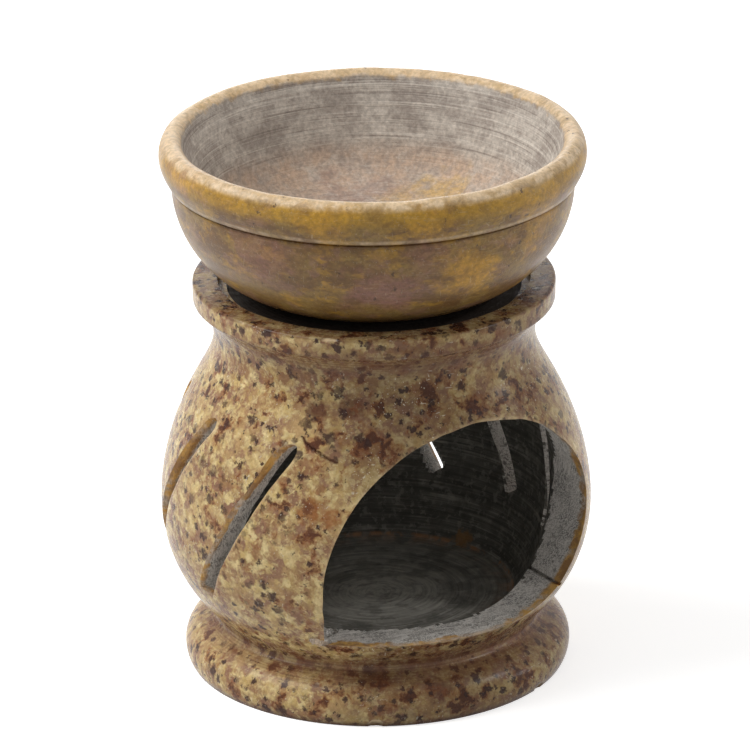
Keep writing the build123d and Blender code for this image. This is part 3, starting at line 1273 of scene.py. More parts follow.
    def _inside(self, graph: NodeGraph, kit: EffectKit) -> tuple[Socket, Socket]:
        """Colour of the raw well, and its turning lines.

        Args:
            graph: Graph of the finish.
            kit: Shared effects.

        Returns:
            The colour and the lines.
        """
        lines = graph.place(kit.turning, pitch=0.34, breaks=1.6, seed=56.0).outputs["Lines"]
        clouds = kit.patches(graph, size=7.0, low=0.40, high=0.60, seed=57.0)
        colour = graph.mix(graph.times(clouds, 0.7), self.grey, self.taupe)
        warm = kit.patches(graph, size=5.0, low=0.36, high=0.6, seed=66.0)
        height = kit.where(graph, "Height")
        floor = graph.smooth(height, self.rim_height - 11.0, self.rim_height - 16.0)
        colour = graph.mix(graph.times(floor, graph.span(warm, 0.35, 0.85)), colour, self.blush)
        for number, stain in enumerate(self.well_stains):
            colour = stain.lay(graph, kit, colour, 90.0 + number)
        grain = kit.patches(graph, size=1.4, low=0.46, high=0.62, seed=58.0)
        colour = graph.tint(colour, self.taupe, grain, 0.4)
        chalky = kit.patches(graph, size=1.1, low=0.55, high=0.66, seed=59.0)
        colour = graph.tint(colour, self.chalk, chalky, 0.16)
        wall = graph.span(floor, 1.0, 0.25)
        pale = graph.times(graph.smooth(lines, 0.52, 0.7), wall)
        colour = graph.tint(colour, self.chalk, pale, 0.5)
        deep = graph.times(graph.smooth(lines, 0.46, 0.30), wall)
        colour = graph.tint(colour, self.speck, deep, 0.45)
        return colour, lines


@dataclass(frozen=True)
class Chip:
    """A flake knocked off an edge: where it is, which way it faces, how long and deep it is."""

    bearing: float
    radius: float
    height: float
    tilt: float
    length: float
    breadth: float
    sink: float

    def cutter(self, noise: StoneNoise) -> Piece:
        """Make the rough ball that takes the flake off.

        Args:
            noise: Noise of the stone.

        Returns:
            The cutter.
        """
        turn, tilt = math.radians(self.bearing), math.radians(self.tilt)
        out = np.array([math.sin(turn), -math.cos(turn), 0.0])
        face = out * math.cos(tilt) + np.array([0.0, 0.0, math.sin(tilt)])
        along = np.array([math.cos(turn), math.sin(turn), 0.0])
        across = np.cross(face, along)
        depth = self.breadth
        centre = on_bearing(self.bearing, self.radius, self.height) + face * (depth - self.sink)
        axes = np.array([along * self.length, across * self.breadth, face * depth])
        return MeshShop.pebble("chip", centre, axes, noise)


@dataclass
class BurnerBody:
    """Foot, hollow bulb, neck and collar in one stone, with the arched window and the leaning slots."""

    foot_radius: float = 36.0
    foot_base_radius: float = 35.1
    foot_widest_height: float = 2.9
    foot_shoulder: Flat = (34.1, 6.9)
    waist: Flat = (30.4, 9.6)
    bulb_radius: float = 40.0
    bulb_height: float = 31.5
    bulb_lower_curve: float = 27.5
    bulb_lower_drop: float = 19.3
    shoulder: Flat = (37.7, 45.2)
    slope: Flat = (33.3, 55.3)
    neck: Flat = (29.7, 64.6)
    collar_radius: float = 33.4
    collar_height: float = 74.9
    collar_thickness: float = 4.0
    collar_edge_round: float = 0.6
    mouth_radius: float = 28.8
    mouth_depth: float = 1.35
    throat_radius: float = 18.0
    throat_length: float = 3.5
    wall: float = 7.1
    hollow_widest_height: float = 35.5
    floor_height: float = 12.4
    floor_radius: float = 25.2
    floor_dish: float = 0.8
    hollow_sill_radius: float = 27.4
    hollow_neck: Flat = (26.4, 61.0)
    sill_height: float = 15.9
    sill_left: float = 26.7
    sill_flat_end: float = 4.0
    sill_right: float = 19.2
    sill_right_rise: float = 3.9
    window_height: float = 40.4
    window_left: Flat = (29.2, 12.4)
    window_right: Flat = (27.7, 20.6)
    slot_width: float = 3.2
    slot_length: float = 44.0
    slot_height: float = 38.3
    slot_lean: float = 30.0
    slot_end_slope: float = 30.0
    slots_each_side: int = 3
    first_slot_angle: float = 73.3
    slot_pitch: float = 33.2
    slot_depths: tuple[float, ...] = (
        -4.0, -0.6, 0.0, 0.25, 0.5, 0.75, 1.0, 1.3, 1.7, 2.3, 3.1, 4.0, 5.0, 6.0, 7.2, 9.0, 14.0,
    )
    segments: int = 312
    skin_step: float = 0.62
    hollow_step: float = 0.85
    cut_step: float = 0.75
    edge_wear: float = 0.42
    kerf_width: float = 0.95
    kerf_depth: float = 1.5
    kerf_heading: float = -28.0
    kerf_place: Flat = (19.2, 19.8)
    slot_bevel: float = 1.15
    slot_taper: float = 0.22
    back_slot_share: float = 0.78
    crack_width: float = 0.5
    crack_depth: float = 0.55
    crack_path: tuple[Flat, ...] = (
        (-56.2, 55.4), (-54.7, 54.4), (-52.3, 53.6), (-49.9, 53.0), (-47.5, 52.4), (-44.4, 51.9),
    )
    chips: tuple[Chip, ...] = (
        Chip(-47.0, 33.3, 74.8, 48.0, 4.6, 2.6, 0.42),
        Chip(-78.0, 33.3, 74.8, 40.0, 3.0, 2.2, 0.26),
        Chip(-33.8, 35.3, 0.5, -25.0, 2.6, 2.4, 0.5),
        Chip(24.0, 35.3, 0.4, -30.0, 2.2, 2.0, 0.32),
        Chip(-51.4, 34.9, 15.8, -10.0, 2.6, 1.6, 0.35),
        Chip(140.0, 33.3, 74.8, 45.0, 3.4, 2.4, 0.3),
        Chip(-49.6, 29.3, 15.9, 90.0, 1.3, 1.7, 0.9),
        Chip(-50.4, 31.4, 15.9, 90.0, 0.9, 1.3, 0.6),
        Chip(-48.6, 33.9, 15.9, 80.0, 1.2, 1.4, 0.45),
    )

    def __post_init__(self) -> None:
        """Work out the outlines that the meshes and their fields share."""
        self.noise = StoneNoise(7)
        self.skin = self._skin_outline()
        self.hollow = self._hollow_outline()
        self.window = self._window_outline()
        self.crack = self._crack_line()

    def _skin_outline(self) -> Array:
        """Outside of the body from the edge of the base up to the mouth of the collar.

        Returns:
            The outline, as radius and height.
        """
        step = self.skin_step
        under = self.collar_height - self.collar_thickness
        round_centre = self.collar_radius - self.collar_edge_round
        drop = math.degrees(math.asin(self.bulb_lower_drop / self.bulb_lower_curve))
        foot = Profile.arc_through(
            (self.foot_base_radius, 0.0), (self.foot_radius, self.foot_widest_height), self.foot_shoulder, step
        )
        lower_centre = (self.bulb_radius - self.bulb_lower_curve, self.bulb_height)
        lower = Profile.arc(lower_centre, self.bulb_lower_curve, -drop, drop, step)
        off_foot, onto_bulb = foot[-1] - foot[-2], lower[1] - lower[0]
        waist = Profile.spline((self.foot_shoulder, self.waist, tuple(lower[0])), step, off_foot, onto_bulb)
        knots = ((self.bulb_radius, self.bulb_height), self.shoulder, self.slope, self.neck)
        upper = Profile.spline(knots, step, (0.0, 1.0), (0.0, 1.0))
        cove = Profile.arc_leaving(self.neck, (0.0, 1.0), (round_centre, under), step)
        low_middle = (round_centre, under + self.collar_edge_round)
        low_round = Profile.arc(low_middle, self.collar_edge_round, -90.0, 90.0, 0.2)
        top_round = Profile.arc(
            (round_centre, self.collar_height - self.collar_edge_round), self.collar_edge_round, 0.0, 90.0, 0.2
        )
        band = Profile.line(tuple(low_round[-1]), tuple(top_round[0]), step)
        top = Profile.line(tuple(top_round[-1]), (self.mouth_radius, self.collar_height), step)
        return Profile.join([foot, waist, lower, upper, cove, low_round, band, top_round, top])

    def _hollow_outline(self) -> Array:
        """Inside of the body from the mouth over the shelf and down the chamber wall to the middle of the floor.

        Returns:
            The outline, as radius and height.
        """
        step = self.hollow_step
        shelf = self.collar_height - self.mouth_depth
        throat_base = (self.throat_radius, shelf - self.throat_length)
        mouth = Profile.line((self.mouth_radius, self.collar_height), (self.mouth_radius, shelf), step)
        seat = Profile.line((self.mouth_radius, shelf), (self.throat_radius, shelf), step)
        throat = Profile.line((self.throat_radius, shelf), throat_base, step)
        widest = (self.bulb_radius - self.wall, self.hollow_widest_height)
        floor_edge = (self.floor_radius, self.floor_height)
        knots = (throat_base, self.hollow_neck, widest, (self.hollow_sill_radius, self.sill_height), floor_edge)
        side = Profile.spline(knots, step)
        centre = (0.0, self.floor_height - self.floor_dish)
        floor = Profile.arc_leaving(centre, (1.0, 0.0), floor_edge, step)[::-1]
        return Profile.join([mouth, seat, throat, side, floor])

    def _window_outline(self) -> Array:
        """Outline of the window seen square on, as a closed loop of distance to the right and height.

        Returns:
            The points of the loop.
        """
        step = self.cut_step
        top = self.sill_height + self.window_height
        left_spring = self.sill_height + self.window_left[1]
        right_spring = self.sill_height + self.window_right[1]
        left_foot = (-self.sill_left, self.sill_height)
        right_foot = (self.sill_right, self.sill_height + self.sill_right_rise)
        sill_end = (self.sill_flat_end, self.sill_height)
        sill = Profile.line(left_foot, sill_end, step)
        rise = Profile.arc_leaving(sill_end, (1.0, 0.0), right_foot, step)
        knots = (
            right_foot,
            (self.window_right[0], right_spring),
            (0.71 * self.window_right[0], right_spring + 0.65 * (top - right_spring)),
            (0.0, top),
            (-0.70 * self.window_left[0], left_spring + 0.71 * (top - left_spring)),
            (-self.window_left[0], left_spring),
            left_foot,
        )
        return Profile.join([sill, rise, Profile.spline(knots, step)])

    def slot_angles(self) -> list[float]:
        """Bearings of the slots: the same row down each side of the window, and one at the back."""
        rows = [self.first_slot_angle + step * self.slot_pitch for step in range(self.slots_each_side)]
        return [180.0] + [side * angle for angle in rows for side in (1.0, -1.0)]

    def build(self) -> Piece:
        """Turn, hollow, pierce and wear the stone.

        Returns:
            The finished mesh object, with its fields kept at its points.
        """
        base = Profile.line((0.0, 0.0), (self.foot_base_radius, 0.0), 1.6)
        stone = MeshShop.lathe("burner_body_stone", Profile.join([base, self.skin, self.hollow]), self.segments)
        MeshShop.move_points(stone, self._hand_turned(MeshShop.points_of(stone)))
        slots = [self._slot_cutter(angle) for angle in self.slot_angles()]
        chips = [chip.cutter(self.noise) for chip in self.chips]
        MeshShop.carve(stone, [self._window_cutter(), self._kerf_cutter(), *slots, self._crack_cutter(), *chips])
        self._sort_faces(stone)
        self._wear_edges(stone)
        MeshShop.finish(stone, 50.0)
        return stone

    def _hand_turned(self, points: Array) -> Array:
        """Pull the skin in by the small hollows that hand work leaves, deeper on the bulb than at the base.

        Args:
            points: The points.

        Returns:
            The moved points.
        """
        radius = np.hypot(points[:, 0], points[:, 1])
        swell = 0.5 - 0.5 * self.noise.sample(points, 13.0)
        ring = np.column_stack([radius, points[:, 2], np.zeros(len(points))])
        marks = 0.5 - 0.5 * self.noise.sample(ring, 1.7)
        inside = self._in_hollow(radius, points[:, 2])
        depth = np.where(inside, 0.10 * marks, 0.09 * swell + 0.025 * marks)
        depth *= np.clip(points[:, 2] / 2.0, 0.0, 1.0) * np.clip((self.collar_height - points[:, 2]) / 2.0, 0.0, 1.0)
        moved = points.copy()
        moved[:, :2] *= (1.0 - depth / np.maximum(radius, 1.0))[:, None]
        return moved

    def _in_hollow(self, radius: Array, height: Array) -> Array:
        """Tell which places lie on the wall of the chamber and not on the skin.

        Args:
            radius: Distance of each place from the axis.
            height: Height of each place.

        Returns:
            True for each place on the wall.
        """
        below = self._skin_below(6.5)
        outer = np.interp(height, below[:, 1], below[:, 0])
        return (radius < outer - 2.0) & (height > 1.0)

    def _skin_below(self, left_off: float) -> Array:
        """Outline of the skin without its last run, of a given length, over the collar."""
        return self.skin[: -int(left_off / self.skin_step)]

    def _window_cutter(self) -> Piece:
        """Slug of the window, uneven as a hand saw and a file leave it.

        Returns:
            The cutter.
        """
        outline = self.window[:-1]
        side = -Profile.left_normals(self.window)
        loops = []
        depths = np.concatenate([[4.0], np.arange(12.0, self.bulb_radius + 2.0, self.cut_step), [60.0]])
        for depth in depths:
            loop = np.column_stack([outline[:, 0], np.full(len(outline), -depth), outline[:, 1]])
            swing = 0.16 * self.noise.sample(loop, 7.0) + 0.07 * self.noise.sample(loop, 2.2)
            loop[:, 0] += side[:, 0] * swing
            loop[:, 2] += side[:, 1] * swing
            loops.append(loop)
        return MeshShop.loft("window", loops)

    def _kerf_cutter(self) -> Piece:
        """Groove where the saw ran past the lower right corner of the window.

        Returns:
            The cutter.
        """
        half = self.kerf_width / 2.0
        turn = math.radians(self.kerf_heading)
        heading = np.array([math.cos(turn), math.sin(turn)])
        side = np.array([-heading[1], heading[0]])
        start, end = np.array(self.kerf_place) - heading * 2.0, np.array(self.kerf_place) + heading * self.kerf_depth
        corners = np.array([start - side * half, end - side * half * 0.6, end + side * half * 0.6, start + side * half])
        loops = []
        for depth in np.arange(10.0, 44.0, self.cut_step):
            loop = np.column_stack([corners[:, 0], np.full(4, -depth), corners[:, 1]])
            loop[:, 2] += 0.10 * self.noise.sample(loop, 3.0)
            loops.append(loop)
        return MeshShop.loft("kerf", loops)

    def _slot_frame(self, angle: float) -> tuple[Array, Array, Array]:
        """Directions of a slot: outward, along its length, and across its width.

        Args:
            angle: Bearing of the slot.

        Returns:
            The three directions.
        """
        lean = math.radians(self.slot_lean)
        turn = math.radians(angle)
        cosine, sine = math.cos(turn), math.sin(turn)
        spin = np.array([[cosine, -sine, 0.0], [sine, cosine, 0.0], [0.0, 0.0, 1.0]])
        out = np.array([0.0, -1.0, 0.0])
        across = np.array([-math.cos(lean), 0.0, math.sin(lean)])
        along = np.cross(across, out)
        return spin @ out, spin @ along, spin @ across

    def _slot_half(self, reach: Array) -> Array:
        """Half the length of a slot at a distance from the axis."""
        return self.slot_length / 2.0 + (reach - self.bulb_radius) * math.tan(math.radians(self.slot_end_slope))

    def _slot_reach(self, share: Array, depth: float) -> Array:
        """Distance outward from the axis at which places along a slot lie at a depth under the skin.

        Args:
            share: Places along the slot, from -1 to 1.
            depth: Depth under the skin.

        Returns:
            A distance for each place.
        """
        lean = math.radians(self.slot_lean)
        outer = self._skin_below(7.5)
        reach = np.full(len(share), self.bulb_radius - depth)
        for _ in range(6):
            run = share * self._slot_half(reach)
            radius = np.interp(self.slot_height + run * math.cos(lean), outer[:, 1], outer[:, 0]) - depth
            reach = np.sqrt(np.maximum(radius**2 - (run * math.sin(lean)) ** 2, (0.8 * self.throat_radius) ** 2))
        return reach

    def _slot_cutter(self, angle: float) -> Piece:
        """Slug of one saw slot, a little wavy, drawn to a point at the top and bevelled along its upper edge.

        Args:
            angle: Bearing of the slot.

        Returns:
            The cutter.
        """
        out, along, across = self._slot_frame(angle)
        middle = np.array([0.0, 0.0, self.slot_height])
        share = np.linspace(-1.0, 1.0, int(self.slot_length / self.cut_step))
        tip = np.clip((1.0 - share) / 0.2, 0.0, 1.0)
        heel = np.clip((1.0 + share) / 0.035, 0.0, 1.0)
        half = self.slot_width / 2.0 * (0.14 + 0.86 * np.sqrt(1.0 - (1.0 - tip) ** 2)) * (0.85 + 0.15 * heel)
        half = half * (1.0 - self.slot_taper * share * np.where(share > 0.0, 1.0, 0.5))
        half = half * (self.back_slot_share if abs(angle) > 120.0 else 1.0)
        loops = []
        for depth in self.slot_depths:
            reach = self._slot_reach(share, depth)
            run = share * self._slot_half(reach)
            centre = middle + out * reach[:, None] + along * run[:, None]
            rows = [centre + across * (side * half)[:, None] for side in (1.0, -1.0)]
            for row, side in zip(rows, (1.0, -1.0)):
                swing = 0.10 * self.noise.sample(row, 6.0) + 0.05 * self.noise.sample(row, 2.0)
                wide = self.slot_bevel * (1.0 + 0.5 * self.noise.sample(row, 5.0)) * (0.8 + 0.4 * share)
                flare = 0.75 * np.clip(wide - depth, 0.0, wide + 0.5) * tip if side > 0.0 else 0.0
                row += across * ((swing + flare) * side)[:, None]
            loops.append(np.concatenate([rows[0], rows[1][::-1]]))
        return MeshShop.loft("slot", loops)

    def _crack_line(self) -> Array:
        """Places along the natural crack that runs off the top of the front slot: bearing, radius and height.

        Returns:
            One place to a row.
        """
        bearings, heights = np.array(self.crack_path).T
        place = np.linspace(0.0, 1.0, 60)
        knots = np.linspace(0.0, 1.0, len(bearings))
        bearing, height = np.interp(place, knots, bearings), np.interp(place, knots, heights)
        jog = np.column_stack([bearing, height, np.zeros(len(place))]) * 2.0
        height = height + 0.25 * self.noise.sample(jog, 1.6) + 0.12 * self.noise.sample(jog, 0.7)
        outer = self._skin_below(7.5)
        return np.column_stack([bearing, np.interp(height, outer[:, 1], outer[:, 0]), height])

    def _crack_cutter(self) -> Piece:
        """Thin wedge that opens the crack.

        Returns:
            The cutter.
        """
        loops = []
        for share, (bearing, radius, height) in zip(np.linspace(0.0, 1.0, len(self.crack)), self.crack):
            thin = max(0.12, math.sin(math.pi * min(0.94, share + 0.06)))
            half, depth = self.crack_width / 2.0 * thin, self.crack_depth * (0.5 + 0.5 * thin)
            loops.append(
                np.array(
                    [
                        on_bearing(bearing, radius + 0.5, height + half * 1.6),
                        on_bearing(bearing, radius - depth, height),
                        on_bearing(bearing, radius + 0.5, height - half * 1.6),
                    ]
                )
            )
        return MeshShop.loft("crack", loops)

    def _crack_gap(self, points: Array) -> Array:
        """Measure how far places lie from the crack, up to 3 mm.

        Args:
            points: The points.

        Returns:
            A distance for each point.
        """
        line = np.array([on_bearing(*place) for place in self.crack])
        near = np.flatnonzero(np.linalg.norm(points - line.mean(axis=0), axis=1) < 14.0)
        gap = np.full(len(points), 3.0)
        away = np.linalg.norm(points[near][:, None, :] - line[None], axis=2)
        gap[near] = np.minimum(away.min(axis=1), 3.0)
        return gap

    def _depths(self, points: Array) -> dict[str, Array]:
        """Measure how far places lie from the skin, the chamber wall and the cuts.

        Args:
            points: Places on or in the stone.

        Returns:
            The distances skin, hollow and cut, and the directions into the stone skin_in and cut_in.
        """
        radius = np.hypot(points[:, 0], points[:, 1])
        flat = np.column_stack([radius, points[:, 2]])
        out = points[:, :2] / np.maximum(radius, 1e-6)[:, None]
        skin, run = Profile.nearest(flat, self.skin)
        side = Profile.left_normals(self.skin)[run]
        skin_in = np.column_stack([out * side[:, :1], side[:, 1]])
        hollow, _ = Profile.nearest(flat, self.hollow)
        cut, cut_in = self._cut_depths(points)
        return {"skin": skin, "hollow": hollow, "cut": cut, "skin_in": skin_in, "cut_in": cut_in}

    def _cut_depths(self, points: Array) -> tuple[Array, Array]:
        """Measure how far places lie from the window and the slots, with the direction into the stone.

        Args:
            points: The points.

        Returns:
            The distances and the directions.
        """
        cut = np.full(len(points), 99.0)
        cut_in = np.zeros((len(points), 3))
        front = np.flatnonzero((points[:, 1] < -5.0) & (np.abs(points[:, 0]) < 36.0) & (points[:, 2] > 10.0))
        gap, run = Profile.nearest(points[front][:, [0, 2]], self.window)
        side = -Profile.left_normals(self.window)[run]
        cut[front] = gap
        cut_in[front] = np.column_stack([side[:, 0], np.zeros(len(front)), side[:, 1]])
        for angle in self.slot_angles():
            out, along, across = self._slot_frame(angle)
            away = points - np.array([0.0, 0.0, self.slot_height])
            reach, run_at, offset = away @ out, away @ along, away @ across
            past_side = np.abs(offset) - self.slot_width / 2.0
            past_end = np.abs(run_at) - self._slot_half(reach)
            gap = np.hypot(np.maximum(past_side, 0.0), np.maximum(past_end, 0.0))
            nearer = np.flatnonzero((gap < cut) & (reach > 15.0))
            sideways = past_side[nearer] > past_end[nearer]
            off_side = np.sign(offset[nearer])[:, None] * across
            off_end = np.sign(run_at[nearer])[:, None] * along
            cut[nearer] = gap[nearer]
            cut_in[nearer] = np.where(sideways[:, None], off_side, off_end)
        return cut, cut_in

    def _sort_faces(self, stone: Piece) -> None:
        """Give each face its kind of surface.

        Args:
            stone: The mesh object.
        """
        count = len(stone.data.polygons)
        centres, normals = np.empty(count * 3), np.empty(count * 3)
        stone.data.polygons.foreach_get("center", centres)
        stone.data.polygons.foreach_get("normal", normals)
        depths = self._depths(centres.reshape(-1, 3))
        outward = -(depths["skin_in"] * normals.reshape(-1, 3)).sum(axis=1)
        height = centres.reshape(-1, 3)[:, 2]
        kind = np.full(count, int(Face.SAWN), np.int32)
        kind[(depths["hollow"] < 0.22) & (depths["skin"] > 0.5) & (depths["cut"] > 0.02)] = Face.HOLLOW
        kind[(depths["skin"] < 0.2) & (outward > 0.6)] = Face.SKIN
        kind[(depths["cut"] > 1.5) & (depths["skin"] < 2.0)] = Face.SKIN
        kind[height < 0.05] = Face.SKIN
        stone.data.polygons.foreach_set("material_index", kind)

    def _wear_edges(self, stone: Piece) -> None:
        """Round the edges of the cuts unevenly, and keep the depths that the finishes read.

        Args:
            stone: The mesh object.
        """
        points = MeshShop.points_of(stone)
        depths = self._depths(points)
        skin, cut = depths["skin"], depths["cut"]
        crack = self._crack_gap(points)
        chipped = (skin > 0.16) & (cut > 1.5) & (depths["hollow"] > 0.5) & (skin < 1.5) & (points[:, 2] > 0.05)
        chipped &= crack > 1.2
        wear = self.edge_wear * (0.75 + 0.5 * self.noise.sample(points, 4.0))
        reach_skin, reach_cut = np.maximum(wear - skin, 0.0), np.maximum(wear - cut, 0.0)
        far = np.hypot(reach_skin, reach_cut)
        worn = np.flatnonzero((reach_skin > 0.0) & (reach_cut > 0.0) & (far > wear))
        scale = (1.0 - wear[worn] / far[worn])[:, None]
        points[worn] += depths["skin_in"][worn] * reach_skin[worn][:, None] * scale
        points[worn] += depths["cut_in"][worn] * reach_cut[worn][:, None] * scale
        MeshShop.move_points(stone, points)
        MeshShop.store(stone, Field.SKIN_DEPTH, skin)
        MeshShop.store(stone, Field.CUT_GAP, cut)
        MeshShop.store(stone, Field.CHIP, chipped.astype(float))
        MeshShop.store(stone, Field.CRACK, crack)

    def dress(self, stone: Piece, kit: EffectKit) -> None:
        """Put the three stone finishes on, in the order of the kinds of surface.

        Args:
            stone: The mesh object.
            kit: Shared effects.
        """
        maroon, rust, chalk = tone(92, 50, 36), tone(146, 86, 44), tone(226, 218, 210)
        shelf = self.collar_height - self.mouth_depth
        # Zones of dark grains that also carry painted shade: the shoulder under the collar, the foot under the bulb and
        # the collar band under the bowl.
        dense_and_shaded = Stain.several((
            (-18.0, 32.0, 60.0, 30.0, maroon, 1.0, 0.9, 0.25),
            (30.0, 32.0, 62.0, 26.0, maroon, 0.8, 0.9, 0.25),
            (-5.0, 33.0, 4.0, 30.0, maroon, 1.0, 0.8, 0.25),
            (40.0, 33.0, 4.0, 26.0, maroon, 0.9, 0.8, 0.25),
            (16.0, 33.0, 72.0, 32.0, maroon, 0.75, 0.9, 0.25),
        ))
        stains = Stain.several((
            (-52.6, 33.9, 54.2, 1.7, tone(176, 126, 96), 0.8),
            (-53.2, 30.6, 59.6, 2.6, maroon, 0.8),
            (-40.8, 30.2, 60.7, 3.0, maroon, 0.75),
            (-51.5, 38.2, 43.4, 3.6, rust, 0.8),
            (-51.9, 38.2, 43.9, 1.8, maroon, 0.75),
            (-45.3, 38.6, 42.0, 2.4, rust, 0.7),
            (-50.4, 34.8, 15.7, 1.3, chalk, 0.75, 0.9, 0.6),
            (-13.9, 34.8, 6.2, 3.0, maroon, 0.7),
            (-33.8, 32.3, 8.1, 3.4, maroon, 0.7),
        ))
        powder = Stain.several((
            (-51.0, 33.6, 16.0, 2.4, chalk, 0.7, 0.9, 0.6),
            (-44.0, 31.0, 15.9, 3.0, chalk, 0.4, 0.9, 0.6),
        ))
        bevels = Stain.several((
            (-67.0, 36.5, 48.0, 8.0, rust, 0.8, 0.7, 0.3),
            (-103.0, 37.5, 43.0, 13.0, rust, 0.8, 0.7, 0.3),
        ))
        finishes = (
            MottledSkin(
                "waxed_mottled_skin", 0.2, 0.42, 0.14, 0.06,
                waist_height=self.waist[1], dense_and_shaded=dense_and_shaded, stains=stains,
            ),
            SawnStone("sawn_grey_stone", 0.5, 0.85, 0.25, 0.12, stains=powder, warm_places=bevels),
            TurnedHollow(
                "turned_grey_hollow", 0.6, 0.9, 0.2, 0.25,
                floor_height=self.floor_height, shelf_height=shelf,
                stains=(Stain(108.0, 26.4, 13.2, 2.6, tone(150, 112, 70), 0.8),),
            ),
        )
        for finish in finishes:
            stone.data.materials.append(finish.make(kit))


@dataclass
class OilBowl:
    """Loose bowl with a flat base, a round belly, a banded rim and a deep well."""

    shelf_height: float = 73.55
    seat_clearance: float = 0.25
    radius: float = 36.95
    belly_curve: float = 20.6
    base_radius: float = 20.4
    rim_radius: float = 39.1
    rim_height: float = 8.1
    rim_overhang: float = 0.55
    rim_step: float = 0.6
    rim_widest_height: float = 4.8
    lip_radius: float = 36.9
    lip_inner_radius: float = 34.9
    lip_inner_drop: float = 1.3
    well_depth: float = 20.8
    well_wall: Flat = (31.6, 10.4)
    well_corner: Flat = (29.0, 16.2)
    well_floor_radius: float = 22.5
    well_floor_rise: float = 1.0
    segments: int = 340
    skin_step: float = 0.55
    well_step: float = 0.42

    def __post_init__(self) -> None:
        """Work out the middle of the belly curve from the shelf that carries the base."""
        centre = self.radius - self.belly_curve
        rise = math.sqrt(self.belly_curve**2 - (self.base_radius - centre) ** 2)
        self.belly_centre = (centre, self.shelf_height + self.seat_clearance + rise)
        self.rim_base = self.belly_centre[1] + self.rim_step
        self.rim_top = self.rim_base + self.rim_height
        self.noise = StoneNoise(19)

    def _outside(self) -> Array:
        """Outside of the bowl from the middle of its base to the inner edge of the lip.

        Returns:
            The outline, as radius and height.
        """
        step = self.skin_step
        sweep = math.degrees(math.acos((self.base_radius - self.belly_centre[0]) / self.belly_curve))
        belly = Profile.arc(self.belly_centre, self.belly_curve, -sweep, sweep, step)
        base = Profile.line((0.0, belly[0, 1]), (belly[0, 0], belly[0, 1]), 1.4)
        rim_edge = (self.radius + self.rim_overhang, self.rim_base)
        corner = (self.radius - 0.3, self.belly_centre[1] + 0.5 * self.rim_step)
        ledge = Profile.join([Profile.line(tuple(belly[-1]), corner, 0.3), Profile.line(corner, rim_edge, 0.3)])
        widest = (self.rim_radius, self.rim_base + self.rim_widest_height)
        rim = Profile.spline((rim_edge, widest, (self.lip_radius, self.rim_top)), 0.4, (0.55, 1.0), (-1.0, 0.0))
        inner = (self.lip_inner_radius, self.rim_top - self.lip_inner_drop)
        lip = Profile.arc_leaving((self.lip_radius, self.rim_top), (-1.0, 0.0), inner, 0.3)
        return Profile.join([base, belly, ledge, rim, lip])

    def _well(self) -> Array:
        """Inside of the bowl from the inner edge of the lip to the middle of the floor.

        Returns:
            The outline, as radius and height.
        """
        floor = self.rim_top - self.well_depth
        knots = (
            (self.lip_inner_radius, self.rim_top - self.lip_inner_drop),
            (self.well_wall[0], self.rim_top - self.well_wall[1]),
            (self.well_corner[0], self.rim_top - self.well_corner[1]),
            (self.well_floor_radius, floor + self.well_floor_rise),
            (0.0, floor),
        )
        return Profile.spline(knots, self.well_step, (-0.4, -1.0), (-1.0, 0.0))

    def build(self) -> Piece:
        """Turn the bowl and leave the marks of the tool in its well.

        Returns:
            The finished mesh object.
        """
        outside, well = self._outside(), self._well()
        rings = Profile.join([outside, well])
        stone = MeshShop.lathe("oil_bowl_stone", rings, self.segments)
        points = MeshShop.points_of(stone)
        order = np.concatenate([np.repeat(np.arange(1, len(rings) - 1), self.segments), [0, len(rings) - 1]])
        inside = np.clip((order - len(outside) + 6) / 8.0, 0.0, 1.0)
        MeshShop.move_points(stone, self._hand_turned(points, inside))
        MeshShop.store(stone, Field.WELL, inside)
        MeshShop.finish(stone, 60.0)
        return stone

    def _hand_turned(self, points: Array, inside: Array) -> Array:
        """Cut the turning marks into the well, and pull the outside in by the hollows of hand work.

        Args:
            points: The points.
            inside: Share by which each point is in the well.

        Returns:
            The moved points.
        """
        radius = np.hypot(points[:, 0], points[:, 1])
        ring = np.column_stack([radius, points[:, 2], 0.02 * np.degrees(np.arctan2(points[:, 1], points[:, 0]))])
        marks = 0.5 - 0.5 * self.noise.sample(ring, 1.0)
        swell = 0.5 - 0.5 * self.noise.sample(points, 12.0)
        base = points[:, 2].min()
        outer = np.where(points[:, 2] > base + 0.01, 0.03 + 0.07 * swell, 0.0)
        depth = np.where(inside > 0.5, -0.09 * marks, outer)
        lift = np.where(inside > 0.5, -0.05 * marks * (radius < self.well_floor_radius), 0.0)
        lip = np.clip((points[:, 2] - self.rim_top + 2.2) / 2.2, 0.0, 1.0)
        lift -= lip * (0.16 + 0.16 * self.noise.sample(points * [1.0, 1.0, 0.0], 9.0))
        lift -= lip * (0.06 + 0.06 * self.noise.sample(points * [1.0, 1.0, 0.0], 2.6))
        moved = points.copy()
        moved[:, :2] *= (1.0 - depth / np.maximum(radius, 3.0))[:, None]
        moved[:, 2] += lift
        return moved

